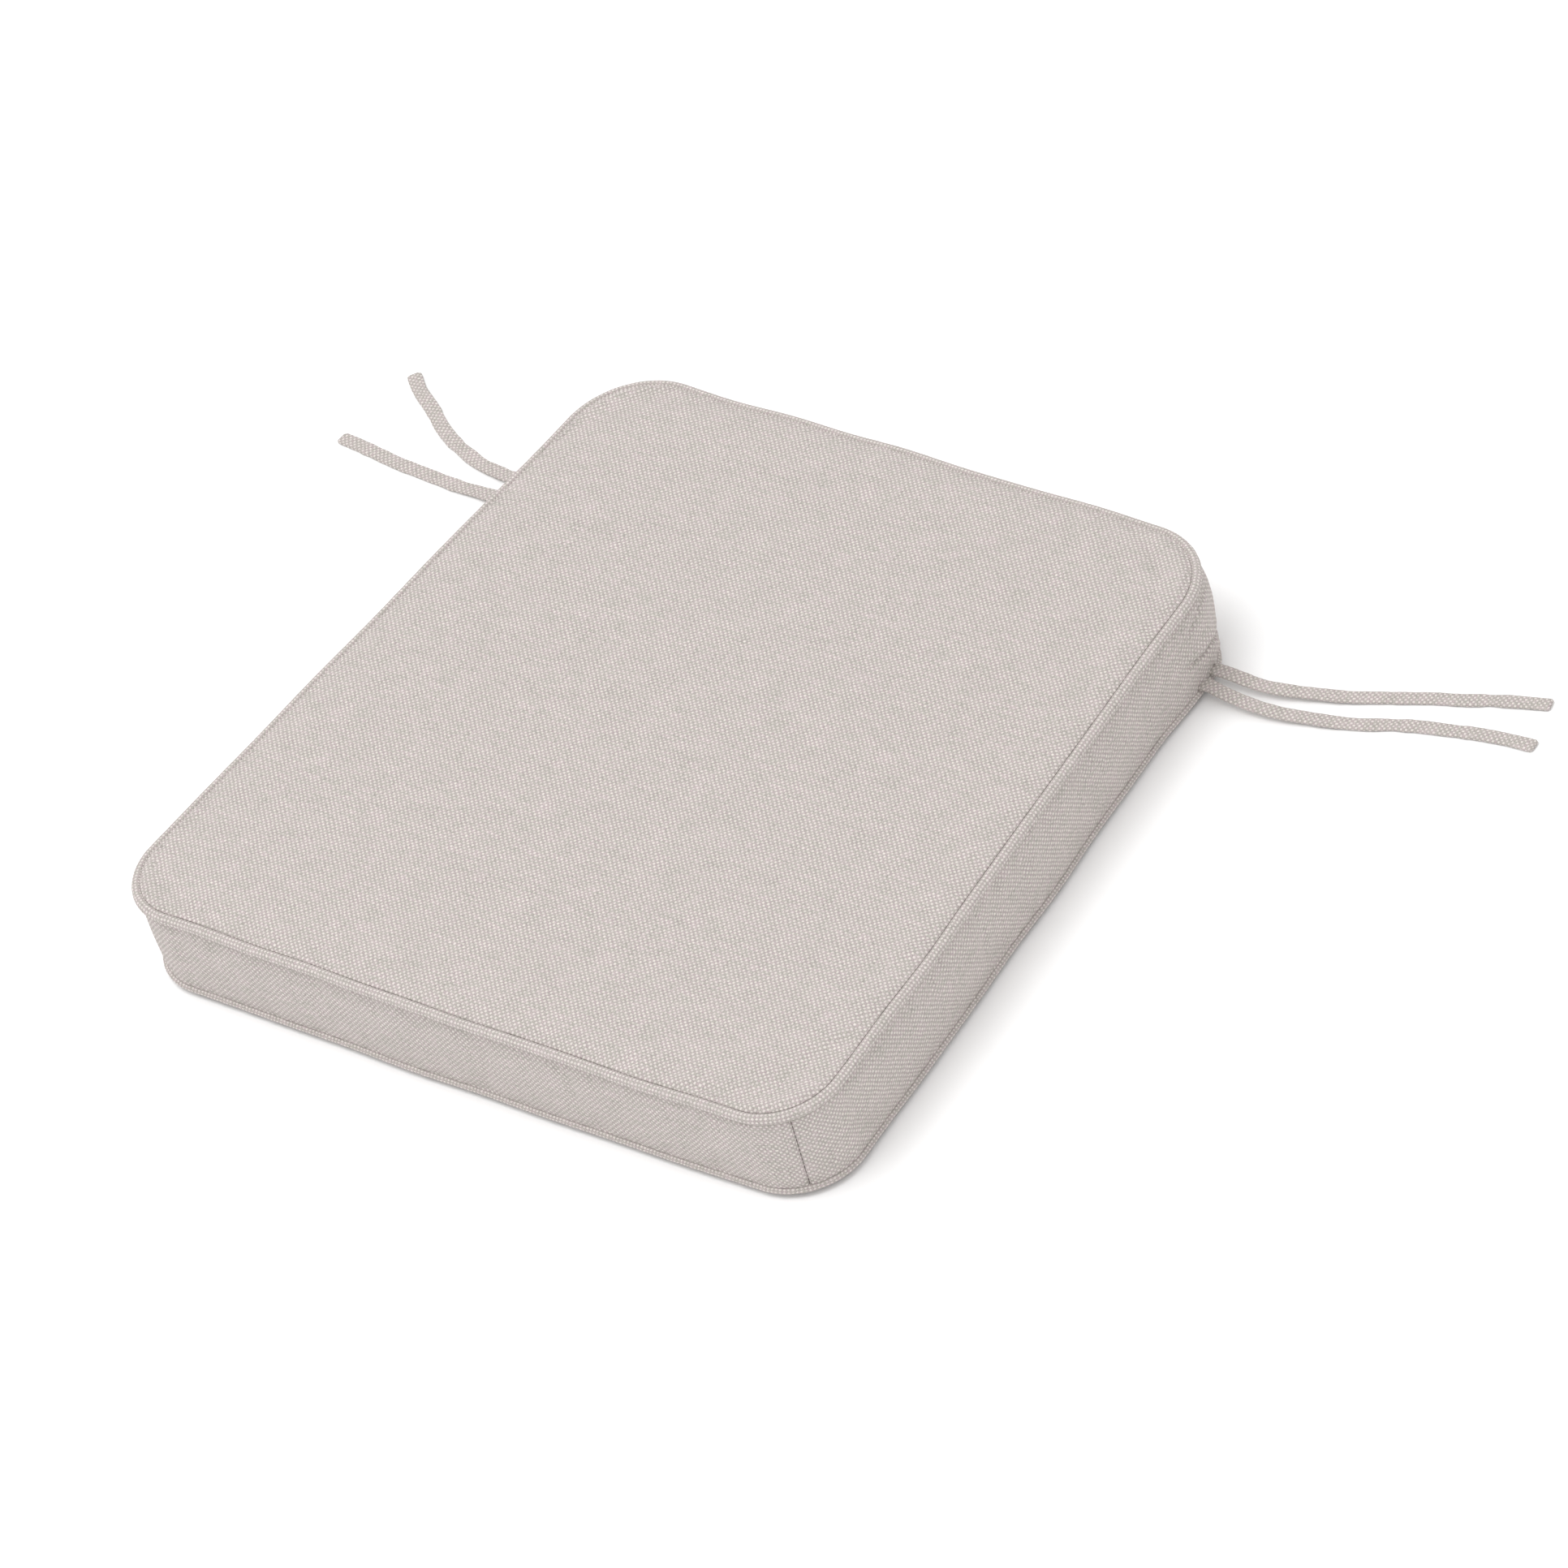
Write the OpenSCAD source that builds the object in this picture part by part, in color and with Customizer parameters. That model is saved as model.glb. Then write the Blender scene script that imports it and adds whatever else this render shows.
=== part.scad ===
// Boxed chair seat pad: a foam core in a zipped, piped cover, with two pairs of ties.
// The origin is the middle of the underside. +X is to the right, +Y to the back, +Z up.
// "Heading" is the direction, in degrees from +X, in which a point of the outline faces.
// Cross sections are drawn in a plane: x is the distance outwards from the middle of
// the piping, and y is the height above the underside.

/* [Pad] */
// Width of the front edge, between the middles of the piping
front_w = 430; // [360:1:520]
// Width of the back edge, between the middles of the piping
back_w = 378; // [320:1:520]
// Depth from front to back, between the middles of the piping
depth = 406; // [340:1:520]
// Thickness over both rows of piping
thick = 56; // [46:1:90]
// Radius of the two front corners
front_corner_r = 35; // [15:1:60]
// Radius of the two back corners
back_corner_r = 43; // [20:1:60]

/* [Filling] */
// Thickness of the wadding on each face of the foam
wadding_t = 3; // [1:0.5:8]

/* [Cover] */
// Thickness of the cover fabric
fabric_t = 0.8; // [0.4:0.1:1.2]
// Width of fabric turned in behind each piped seam
seam_allowance = 8; // [5:0.5:10]
// Heading of the seam at the right front corner
front_seam_heading = 313; // [280:1:340]
// Heading of the lap at the right back corner, where the boxing ends over the zip strips
lap_heading = 62; // [30:1:80]

/* [Piping] */
// Outside diameter of the covered piping
piping_d = 5.4; // [4:0.2:7]
// Wall of the bias strip round the filler cord
piping_wall = 0.6; // [0.4:0.1:0.8]

/* [Zip] */
// Width of the window between the folded edges, where the teeth show
zip_window = 8; // [7.4:0.1:9]
// Width of the folded edge beside the window
zip_fold = 10; // [9:0.5:12]
// Plain stretch between a zip stop and the start of a corner
zip_end_gap = 12; // [6:1:30]
// Width of each half of the tape
zip_tape_w = 11.5; // [10:0.5:12]
// Thickness of the tape
zip_tape_t = 0.6; // [0.4:0.1:0.8]
// Width of the closed row of teeth
zip_chain_w = 4.6; // [4:0.1:5]
// Height of the teeth above the tape
zip_chain_h = 1.4; // [1.2:0.1:1.6]
// Gap between the two rows of teeth, where the slider's web runs
zip_web_gap = 0.8; // [0.6:0.1:1]
// Length of the slider
slider_l = 10.5; // [8:0.5:12]
// Air on each side of the slider in the window
slider_side_play = 0.4; // [0.3:0.1:0.6]
// Thickness of each of the slider's two plates
slider_plate_t = 0.9; // [0.7:0.1:1]
// Length of the pull tab from its pivot to its tip
pull_l = 22; // [14:1:30]
// Width of the pull tab
pull_w = 5; // [4.6:0.2:7]

/* [Ties] */
// Width of a tie
tie_w = 8; // [6:0.5:12]
// Thickness of a tie
tie_t = 1.6; // [1.2:0.1:1.8]
// Gap between the two ties of a pair where they leave the seam
tie_gap = 3; // [1:0.5:6]

/* [Hidden] */
$fn = 64;

fabric_colour = [0.81, 0.78, 0.76];
foam_colour = [0.93, 0.90, 0.78];
wadding_colour = [0.96, 0.96, 0.95];
cord_colour = [0.92, 0.91, 0.88];
tape_colour = [0.74, 0.72, 0.70];
metal_colour = [0.62, 0.62, 0.63];

// Air between layers that lie against each other, and round the slider
ease = 0.1;
slider_play = 0.3;
// How much slimmer a swept section is in the corners, and how far the straight runs reach in
corner_step = 0.01;
corner_overlap = 0.05;
$slim = 0;
piping_r = piping_d / 2;
filler_r = piping_r - piping_wall - ease / 2;

// Outline of the pad: four corner arcs joined by straight runs
taper = atan((front_w - back_w) / 2 / depth);
corner_pull = (1 - sin(taper)) / cos(taper);
nose_pull = (1 + sin(taper)) / cos(taper);
back_cx = back_w / 2 - back_corner_r * corner_pull;
back_cy = depth / 2 - back_corner_r;
front_cx = front_w / 2 - front_corner_r * nose_pull;
front_cy = front_corner_r - depth / 2;
// Each corner: centre x, centre y, radius, first heading, last heading
corners = [
    [back_cx, back_cy, back_corner_r, taper, 90],
    [-back_cx, back_cy, back_corner_r, 90, 180 - taper],
    [-front_cx, front_cy, front_corner_r, 180 - taper, 270],
    [front_cx, front_cy, front_corner_r, 270, 360 + taper],
];

// Layers of the edge, outwards from the middle of the piping
boxing_out = -ease;
boxing_in = boxing_out - fabric_t;
fold_in = boxing_in - fabric_t;
flange_in = ease - piping_r;
flange_out = flange_in + fabric_t;
rim_out = -piping_r - ease;
rim_in = rim_out - fabric_t;
tape_out = fold_in - ease;
tape_in = tape_out - zip_tape_t;
plate_in_high = tape_in - ease;
plate_in_low = plate_in_high - slider_plate_t;
filling_out = min(rim_in, plate_in_low - slider_play) - ease;

// Heights of the edge
piping_top_z = thick - piping_r;
wall_low = piping_d + ease;
wall_high = thick - piping_d - ease;
window_low = (thick - zip_window) / 2;
window_high = (thick + zip_window) / 2;
allowance_low = piping_r + seam_allowance;
allowance_high = thick - allowance_low;
filling_low = fabric_t + ease;
filling_high = thick - filling_low;
foam_low = filling_low + wadding_t + ease;
foam_high = thick - foam_low;

// The zip lies on the straight back run, centred on the pad
zip_l = 2 * (back_cx - zip_end_gap);
back_y = depth / 2;
teeth_out = tape_out + zip_chain_h;
stop_l = 3;
stop_t = 0.4;
stitch_d = 0.4;
stitch_edge = 2;
slider_x = -zip_l / 2 + slider_l / 2 + slider_play;
slider_w = zip_window - 2 * slider_side_play;
slider_rim_w = (slider_w - zip_chain_w) / 2 - slider_play;
plate_out_low = teeth_out + ease;
plate_out_high = plate_out_low + slider_plate_t;
slider_corner_r = 1.5;
web_l = 2.5;
web_t = zip_web_gap - 2 * ease;

// The pull turns about a bar that lies under the slider's bridge
pull_bar_r = 0.6;
pull_t = 1;
pull_play = 0.2;
bridge_w = 1.4;
bridge_t = 0.8;
bridge_l = 7;
pull_y = plate_out_high + pull_play + pull_bar_r;
bridge_top = pull_y + pull_bar_r + pull_play + bridge_t;
pull_arm_w = 1.1;
pull_eye_l = 5.5;

// The ties leave the bottom seam in pairs, astride the start of the back corners.
// Each route starts at the seam: distance to the side, distance to the back, height.
tie_pitch = tie_w + tie_gap;
tie_start_z = wall_low + tie_t / 2;
tie_chamfer = tie_t / 4;
right_rear_route = [
    [0, 0, 6.3], [7, 0, 6.3], [14, 0, 5.9], [30, 0, 4.7], [45, 3, 3.5], [59, 7, 2.4],
    [73, 11, 1.6], [86, 16, 1.1], [100, 21, 0.9], [114, 26, 0.9], [128, 30, 0.9],
    [142, 35, 0.9], [156, 39, 0.9], [172, 43, 0.9],
];
right_front_route = [
    [0, 0, 6.3], [7, 0, 6.3], [13, -1, 5.9], [30, -2, 4.6], [46, -1, 3.4], [61, 2, 2.3],
    [75, 5, 1.5], [89, 9, 0.9], [103, 14, 0.9], [117, 18, 0.9], [132, 21, 0.9],
    [147, 24, 0.9], [163, 26, 0.9], [179, 27, 0.9],
];
left_rear_route = [
    [0, 0, 6.3], [7, 0, 6.3], [15, -1, 5.7], [27, -4, 4.7], [40, -8, 3.4], [53, -11, 2.3],
    [64, -10, 1.7], [77, -8, 1.2], [89, -4, 0.9], [102, 1, 0.9], [115, 8, 0.9],
    [128, 17, 0.9], [143, 26, 0.9], [154, 35, 0.9],
];
left_front_route = [
    [0, 0, 6.3], [7, 0, 6.3], [15, -2, 5.7], [27, -7, 4.8], [40, -12, 3.6], [54, -15, 2.5],
    [65, -15, 1.8], [76, -15, 1.3], [91, -14, 0.9], [105, -13, 0.9], [120, -12, 0.9],
    [135, -10, 0.9], [151, -8, 0.9], [162, -7, 0.9],
];

// ---- Shapes that repeat ----

function on_corner(corner, heading, out) =
    [corner[0] + (corner[2] + out) * cos(heading), corner[1] + (corner[2] + out) * sin(heading)];

// The pad's outline, moved outwards
module outline(out) {
    polygon([for (corner = corners, heading = [corner[3], corner[4]])
        on_corner(corner, heading, out)]);
    for (corner = corners)
        translate([corner[0], corner[1]]) circle(corner[2] + out);
}

// A flat sheet with the pad's outline
module sheet(out, low, high) {
    translate([0, 0, low]) linear_extrude(high - low) outline(out);
}

// A cross section carried round the outline, from one heading to another.
// The straight runs reach a little way into the corners, where the section is a hair slimmer.
module edge(from, to) {
    for (i = [0 : 3], turn = [0, 360]) {
        corner = corners[i];
        following = corners[(i + 1) % 4];
        first = max(from, corner[3] + turn);
        last = min(to, corner[4] + turn);
        if (last > first)
            translate([corner[0], corner[1], 0]) rotate(first)
                rotate_extrude(angle = last - first)
                    translate([corner[2], 0]) let ($slim = corner_step) children();
        heading = corner[4] + turn;
        start = on_corner(corner, heading, 0);
        end = on_corner(following, heading, 0);
        run = norm(end - start);
        if (from < heading && heading <= to)
            translate([(start[0] + end[0]) / 2, (start[1] + end[1]) / 2, 0]) rotate([90, 0, heading])
                linear_extrude(run + 2 * corner_overlap, center = true) children();
    }
}

// A rectangle of a cross section, between two distances outwards and two heights
module layer(inner, outer, low, high) {
    translate([inner + $slim, low + $slim])
        square([outer - inner - 2 * $slim, high - low - 2 * $slim]);
}

// A disc of a cross section on the middle line of the piping
module disc(height, radius) {
    translate([0, height]) circle(radius);
}

// A box on the back run, between two places along X, two distances outwards, two heights
module back_box(x1, x2, inner, outer, low, high) {
    translate([x1, back_y + inner, low]) cube([x2 - x1, outer - inner, high - low]);
}

// ---- Filling ----

module foam_core() {
    color(foam_colour) sheet(filling_out, foam_low, foam_high);
}

module wadding_top() {
    color(wadding_colour) sheet(filling_out, foam_high + ease, filling_high);
}

module wadding_bottom() {
    color(wadding_colour) sheet(filling_out, filling_low, foam_low - ease);
}

// ---- Cover ----

// A panel with its seam allowance turned in along the edge
module panel(face_low, face_high, rim_low, rim_high) {
    color(fabric_colour) difference() {
        union() {
            sheet(rim_out, face_low, face_high);
            sheet(rim_out, rim_low, rim_high);
        }
        sheet(rim_in, fabric_t, thick - fabric_t);
    }
}

module top_panel() {
    panel(thick - fabric_t, thick, allowance_high, thick - fabric_t);
}

module bottom_panel() {
    panel(0, fabric_t, fabric_t, allowance_low);
}

module boxing(from, to) {
    color(fabric_colour) edge(from, to) layer(boxing_in, boxing_out, wall_low, wall_high);
}

module front_boxing() {
    boxing(180 - lap_heading, front_seam_heading);
}

module right_boxing() {
    boxing(front_seam_heading, 360 + lap_heading);
}

// Half of the back boxing, folded back on itself beside the zip
module zip_strip(low, high, fold_low, fold_high) {
    color(fabric_colour) edge(lap_heading, 180 - lap_heading) {
        layer(boxing_in, boxing_out, low, high);
        layer(fold_in, boxing_out, fold_low, fold_high);
    }
}

module zip_strip_upper() {
    zip_strip(window_high, wall_high, window_high, window_high + zip_fold);
}

module zip_strip_lower() {
    zip_strip(wall_low, window_low, window_low - zip_fold, window_low);
}

// ---- Piping ----

// Bias strip round the filler cord, with its two raw edges turned in as a flange
module piping_cover(height, flange_low, flange_high) {
    color(fabric_colour) edge(taper, 360 + taper) difference() {
        union() {
            disc(height, piping_r - $slim);
            layer(flange_in, flange_out, flange_low, flange_high);
        }
        disc(height, piping_r - piping_wall + $slim);
    }
}

module piping_cord(height) {
    color(cord_colour) edge(taper, 360 + taper) disc(height, filler_r - $slim);
}

module top_piping_cover() {
    piping_cover(piping_top_z, allowance_high, piping_top_z);
}

module top_piping_cord() {
    piping_cord(piping_top_z);
}

module bottom_piping_cover() {
    piping_cover(piping_r, piping_r, allowance_low);
}

module bottom_piping_cord() {
    piping_cord(piping_r);
}

// ---- Zip ----

// One half of the zip: side is 1 for the upper half and -1 for the lower half
module zip_band(side, inner, outer, near, far, length) {
    low = thick / 2 + (side > 0 ? near : -far);
    back_box(-length / 2, length / 2, inner, outer, low, low + far - near);
}

module zip_tape(side) {
    color(tape_colour)
        zip_band(side, tape_in, tape_out, zip_web_gap / 2, zip_web_gap / 2 + zip_tape_w,
            zip_l + 2 * stop_l);
}

module zip_teeth(side) {
    color(tape_colour)
        zip_band(side, tape_out, teeth_out, zip_web_gap / 2, zip_chain_w / 2, zip_l);
}

module zip_tape_upper() {
    zip_tape(1);
}

module zip_tape_lower() {
    zip_tape(-1);
}

module zip_teeth_upper() {
    zip_teeth(1);
}

module zip_teeth_lower() {
    zip_teeth(-1);
}

// A clip at each end of the teeth, across both rows
module zip_end_stops() {
    color(metal_colour)
        for (side = [-1, 1])
            back_box(side * (zip_l + stop_l) / 2 - stop_l / 2, side * (zip_l + stop_l) / 2 + stop_l / 2,
                tape_out, teeth_out, (thick - zip_chain_w) / 2, (thick + zip_chain_w) / 2);
}

// The rows of topstitching that hold the tape behind the folded edges
module zip_stitching() {
    color(fabric_colour)
        for (height = [window_low - stitch_edge, window_high + stitch_edge])
            back_box(-zip_l / 2, zip_l / 2, boxing_out, boxing_out + stitch_d,
                height - stitch_d / 2, height + stitch_d / 2);
}

// One plate of the slider, with round corners
module slider_plate(inner, outer) {
    translate([slider_x, back_y + outer, thick / 2]) rotate([90, 0, 0])
        linear_extrude(outer - inner) {
            square([slider_l - 2 * slider_corner_r, slider_w], center = true);
            square([slider_l, slider_w - 2 * slider_corner_r], center = true);
            for (sx = [-1, 1], sz = [-1, 1])
                translate([sx * (slider_l / 2 - slider_corner_r),
                    sz * (slider_w / 2 - slider_corner_r)])
                    circle(slider_corner_r);
        }
}

// One of the rims that guide the teeth, at a height of its middle
module slider_rim(middle) {
    half_l = slider_l / 2 - slider_corner_r;
    back_box(slider_x - half_l, slider_x + half_l, tape_out + 2 * ease, plate_out_low,
        middle - slider_rim_w / 2, middle + slider_rim_w / 2);
}

// Two plates joined by a web at the opening end, side rims that guide the teeth,
// and a bridge that the pull hangs from
module zip_slider() {
    left = slider_x - slider_l / 2;
    color(metal_colour) difference() {
        union() {
            slider_plate(plate_in_low, plate_in_high);
            slider_plate(plate_out_low, plate_out_high);
            back_box(left + slider_corner_r, left + slider_corner_r + web_l,
                plate_in_low, plate_out_high, (thick - web_t) / 2, (thick + web_t) / 2);
            for (side = [-1, 1])
                slider_rim(thick / 2 + side * (slider_w - slider_rim_w) / 2);
            back_box(slider_x - bridge_l / 2, slider_x + bridge_l / 2, plate_out_high, bridge_top,
                (thick - bridge_w) / 2, (thick + bridge_w) / 2);
        }
        back_box(slider_x - bridge_l / 2 + bridge_t, slider_x + bridge_l / 2 - bridge_t,
            plate_out_high, bridge_top - bridge_t,
            (thick - bridge_w) / 2 - 1, (thick + bridge_w) / 2 + 1);
    }
}

// A tab with an eye: the eye's bar passes under the slider's bridge
module zip_pull() {
    color(metal_colour) translate([slider_x, back_y + pull_y, thick / 2]) {
        translate([0, 0, -pull_w / 2]) cylinder(h = pull_w, r = pull_bar_r);
        for (side = [-1, 1])
            translate([0, -pull_t / 2, side * (pull_w - pull_arm_w) / 2 - pull_arm_w / 2])
                cube([pull_eye_l, pull_t, pull_arm_w]);
        translate([0, pull_t / 2, 0]) rotate([90, 0, 0]) linear_extrude(pull_t) {
            translate([pull_eye_l, -pull_w / 2]) square([pull_l - pull_eye_l - pull_w / 2, pull_w]);
            translate([pull_l - pull_w / 2, 0]) circle(d = pull_w);
        }
    }
}

// ---- Ties ----

// Where a tie leaves the bottom seam: side is 1 right, -1 left; place is 1 rear, -1 front
function tie_exit(side, place) =
    let (seam = on_corner(corners[0], taper, (boxing_in + boxing_out) / 2))
    [side * (seam[0] - place * tie_pitch / 2 * sin(taper)),
        seam[1] + place * tie_pitch / 2 * cos(taper)];

// The route in the pad's own frame; its first two points keep to the height of the seam
function tie_path(side, place, route) =
    let (exit = tie_exit(side, place))
    [for (i = [0 : len(route) - 1])
        [exit[0] + side * route[i][0], exit[1] + route[i][1], i < 2 ? tie_start_z : route[i][2]]];

function direction(path, i) =
    let (step = path[min(i + 1, len(path) - 1)] - path[max(i - 1, 0)])
    step / norm(step);

// Half of the flat cross section's eight corners, as shares along and across the tie
tie_section = [
    [tie_w / 2, tie_t / 2 - tie_chamfer], [tie_w / 2 - tie_chamfer, tie_t / 2],
    [tie_chamfer - tie_w / 2, tie_t / 2], [-tie_w / 2, tie_t / 2 - tie_chamfer],
    [-tie_w / 2, tie_chamfer - tie_t / 2], [tie_chamfer - tie_w / 2, -tie_t / 2],
    [tie_w / 2 - tie_chamfer, -tie_t / 2], [tie_w / 2, tie_chamfer - tie_t / 2],
];

// A flat tape swept along a path, level across its width
module tape_along(path) {
    sides = len(tie_section);
    rings = len(path);
    points = [for (i = [0 : rings - 1])
        let (along = direction(path, i),
            flat = cross([0, 0, 1], along),
            across = flat / norm(flat),
            up = cross(along, across))
        for (corner = tie_section) path[i] + corner[0] * across + corner[1] * up];
    walls = [for (i = [0 : rings - 2], k = [0 : sides - 1])
        [i * sides + k, i * sides + (k + 1) % sides,
            (i + 1) * sides + (k + 1) % sides, (i + 1) * sides + k]];
    near_end = [for (k = [sides - 1 : -1 : 0]) k];
    far_end = [for (k = [0 : sides - 1]) (rings - 1) * sides + k];
    polyhedron(points, concat([near_end, far_end], walls), convexity = 6);
}

module tie(side, place, route) {
    color(fabric_colour) tape_along(tie_path(side, place, route));
}

module right_tie_rear() {
    tie(1, 1, right_rear_route);
}

module right_tie_front() {
    tie(1, -1, right_front_route);
}

module left_tie_rear() {
    tie(-1, 1, left_rear_route);
}

module left_tie_front() {
    tie(-1, -1, left_front_route);
}

foam_core();
wadding_top();
wadding_bottom();
top_panel();
bottom_panel();
front_boxing();
right_boxing();
zip_strip_upper();
zip_strip_lower();
top_piping_cover();
top_piping_cord();
bottom_piping_cover();
bottom_piping_cord();
zip_tape_upper();
zip_tape_lower();
zip_teeth_upper();
zip_teeth_lower();
zip_end_stops();
zip_stitching();
zip_slider();
zip_pull();
right_tie_rear();
right_tie_front();
left_tie_rear();
left_tie_front();
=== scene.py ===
"""The finished look of a chair seat pad, in metres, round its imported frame.

The pad is a foam block between two sheets of wadding, in a sewn cover: two panels, a boxing of
strips round the edge, bias-cut piping in both seams, a coil zip at the back and four ties.
"""

import logging
import math
from dataclasses import dataclass, field
from enum import Enum
from functools import cached_property
from typing import Callable

import bpy
import numpy as np
from mathutils import Matrix, Vector


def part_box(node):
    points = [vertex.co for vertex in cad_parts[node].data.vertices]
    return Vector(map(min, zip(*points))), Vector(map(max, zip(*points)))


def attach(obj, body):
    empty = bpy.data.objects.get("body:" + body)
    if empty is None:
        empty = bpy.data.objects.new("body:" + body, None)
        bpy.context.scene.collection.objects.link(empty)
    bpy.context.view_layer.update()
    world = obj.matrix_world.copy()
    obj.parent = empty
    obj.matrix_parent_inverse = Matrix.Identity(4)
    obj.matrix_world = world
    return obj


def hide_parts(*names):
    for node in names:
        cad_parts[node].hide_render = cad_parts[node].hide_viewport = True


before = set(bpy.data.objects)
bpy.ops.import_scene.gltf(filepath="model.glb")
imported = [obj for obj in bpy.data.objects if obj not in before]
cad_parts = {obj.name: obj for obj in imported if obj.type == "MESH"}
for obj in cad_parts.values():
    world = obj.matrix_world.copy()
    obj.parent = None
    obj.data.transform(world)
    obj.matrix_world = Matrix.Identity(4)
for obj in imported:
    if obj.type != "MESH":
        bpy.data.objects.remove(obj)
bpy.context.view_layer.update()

Array = np.ndarray
MM = 0.001
log = logging.getLogger("seat_pad")


# ---- Shader graphs ----


def operator(operation: str, *, reflected: bool = False) -> Callable[..., "Value"]:
    """An arithmetic operator of Value that adds one Math node.

    Args:
        operation: the Math node's operation.
        reflected: whether the value stands on the right of the operator.

    Returns:
        The method.
    """

    def method(value: "Value", *others: "Value | float") -> "Value":
        """The operation on the value and the other terms."""
        terms = (*others, value) if reflected else (value, *others)
        return value._math(operation, *terms)

    return method


class Value:
    """A number in a shader graph; an expression on it adds its Math nodes."""

    __add__ = __radd__ = operator("ADD")
    __mul__ = __rmul__ = operator("MULTIPLY")
    __sub__ = operator("SUBTRACT")
    __rsub__ = operator("SUBTRACT", reflected=True)
    __truediv__ = operator("DIVIDE")
    __pow__ = operator("POWER")
    __abs__ = operator("ABSOLUTE")

    def __init__(self, graph: "Graph", socket: bpy.types.NodeSocket) -> None:
        """Wraps an output socket of the graph."""
        self.graph = graph
        self.socket = socket

    def _math(self, operation: str, *terms: "Value | float") -> "Value":
        """A Math node on these terms.

        Args:
            operation: the Math node's operation.
            terms: its inputs in order, as values or numbers.

        Returns:
            The node's result.
        """
        node = self.graph.node("ShaderNodeMath", {"operation": operation}, dict(enumerate(terms)))
        return Value(self.graph, node.outputs[0])

    def cosine(self) -> "Value":
        """The cosine of an angle in radians."""
        return self._math("COSINE", self)

    def step(self, low: float, high: float) -> "Value":
        """A smooth step: 0 below low, 1 above high.

        Args:
            low: where the step starts.
            high: where it ends.

        Returns:
            The step's height.
        """
        node = self.graph.node(
            "ShaderNodeMapRange",
            {"interpolation_type": "SMOOTHSTEP"},
            {"Value": self, "From Min": low, "From Max": high},
        )
        return Value(self.graph, node.outputs["Result"])


class Graph:
    """The node graph of one material."""

    def __init__(self, name: str) -> None:
        """Starts an empty graph with an output."""
        self.material = bpy.data.materials.new(name)
        self.material.use_nodes = True
        self.tree = self.material.node_tree
        self.tree.nodes.clear()
        self.output = self.node("ShaderNodeOutputMaterial")

    def node(
        self, kind: str, settings: dict | None = None, inputs: dict | None = None
    ) -> bpy.types.Node:
        """Adds a node.

        Args:
            kind: the node's type.
            settings: its own settings by name, set before its sockets.
            inputs: a number, colour, Value or output socket for each input socket, by name or
                by place.

        Returns:
            The node.
        """
        node = self.tree.nodes.new(kind)
        for name, setting in (settings or {}).items():
            setattr(node, name, setting)
        for key, given in (inputs or {}).items():
            source = given.socket if isinstance(given, Value) else given
            if isinstance(source, bpy.types.NodeSocket):
                self.tree.links.new(source, node.inputs[key])
            else:
                node.inputs[key].default_value = source
        return node

    def coordinates(self, output: str) -> tuple[Value, Value, Value]:
        """Coordinates in metres.

        Args:
            output: "Object" for the pad's own axes, "UV" for the piece's cloth coordinates.

        Returns:
            The three coordinates.
        """
        source = self.node("ShaderNodeTexCoord").outputs[output]
        split = self.node("ShaderNodeSeparateXYZ", None, {0: source})
        return tuple(Value(self, out) for out in split.outputs)

    def noise(self, place: tuple, scale: float = 1.0, detail: float = 1.0) -> Value:
        """Smooth noise from 0 to 1 at a place.

        Args:
            place: three coordinates, as values or numbers.
            scale: how many times the noise changes in one unit.
            detail: how many finer layers it has.

        Returns:
            The noise.
        """
        vector = self.node("ShaderNodeCombineXYZ", None, dict(enumerate(place)))
        inputs = {"Vector": vector.outputs[0], "Scale": scale, "Detail": detail}
        return Value(self, self.node("ShaderNodeTexNoise", None, inputs).outputs[0])

    def mix(self, factor: Value, first: object, second: object) -> bpy.types.NodeSocket:
        """A colour between two colours.

        Args:
            factor: 0 for the first and 1 for the second.
            first: a colour or a colour socket.
            second: a colour or a colour socket.

        Returns:
            The mixed colour's socket.
        """
        inputs = {0: factor, 6: first, 7: second}
        return self.node("ShaderNodeMix", {"data_type": "RGBA"}, inputs).outputs[2]

    def shade(self, colour: object, tone: Value) -> bpy.types.NodeSocket:
        """A colour times a tone.

        Args:
            colour: a colour socket.
            tone: what each channel is multiplied by.

        Returns:
            The shaded colour's socket.
        """
        settings = {"operation": "SCALE"}
        return self.node("ShaderNodeVectorMath", settings, {0: colour, "Scale": tone}).outputs[0]

    def bump(self, height: Value, distance: float, strength: float = 1.0) -> bpy.types.NodeSocket:
        """A normal from a height.

        Args:
            height: the relief, from 0 to 1.
            distance: how high 1 is, in metres.
            strength: how much of it shows.

        Returns:
            The normal's socket.
        """
        inputs = {"Height": height, "Distance": distance, "Strength": strength}
        return self.node("ShaderNodeBump", None, inputs).outputs[0]

    def surface(self, inputs: dict) -> None:
        """Joins a Principled shader with these inputs to the output."""
        shader = self.node("ShaderNodeBsdfPrincipled", None, inputs)
        self.tree.links.new(shader.outputs[0], self.output.inputs["Surface"])


# ---- Finishes ----


@dataclass(frozen=True)
class Finish:
    """A finish with a name, whose material is made once."""

    name: str

    def paint(self, graph: Graph) -> None:
        """Fills the graph of this finish."""
        raise NotImplementedError

    def material(self) -> bpy.types.Material:
        """The material of this finish."""
        found = bpy.data.materials.get(self.name)
        if found is None:
            graph = Graph(self.name)
            self.paint(graph)
            found = graph.material
        return found


class Grain(Enum):
    """How a piece of canvas was cut: where its threads run."""

    PAD = "along the pad's own width and depth"
    ROLL = "along the piece"
    BIAS = "at 45 degrees to the piece"


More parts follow.
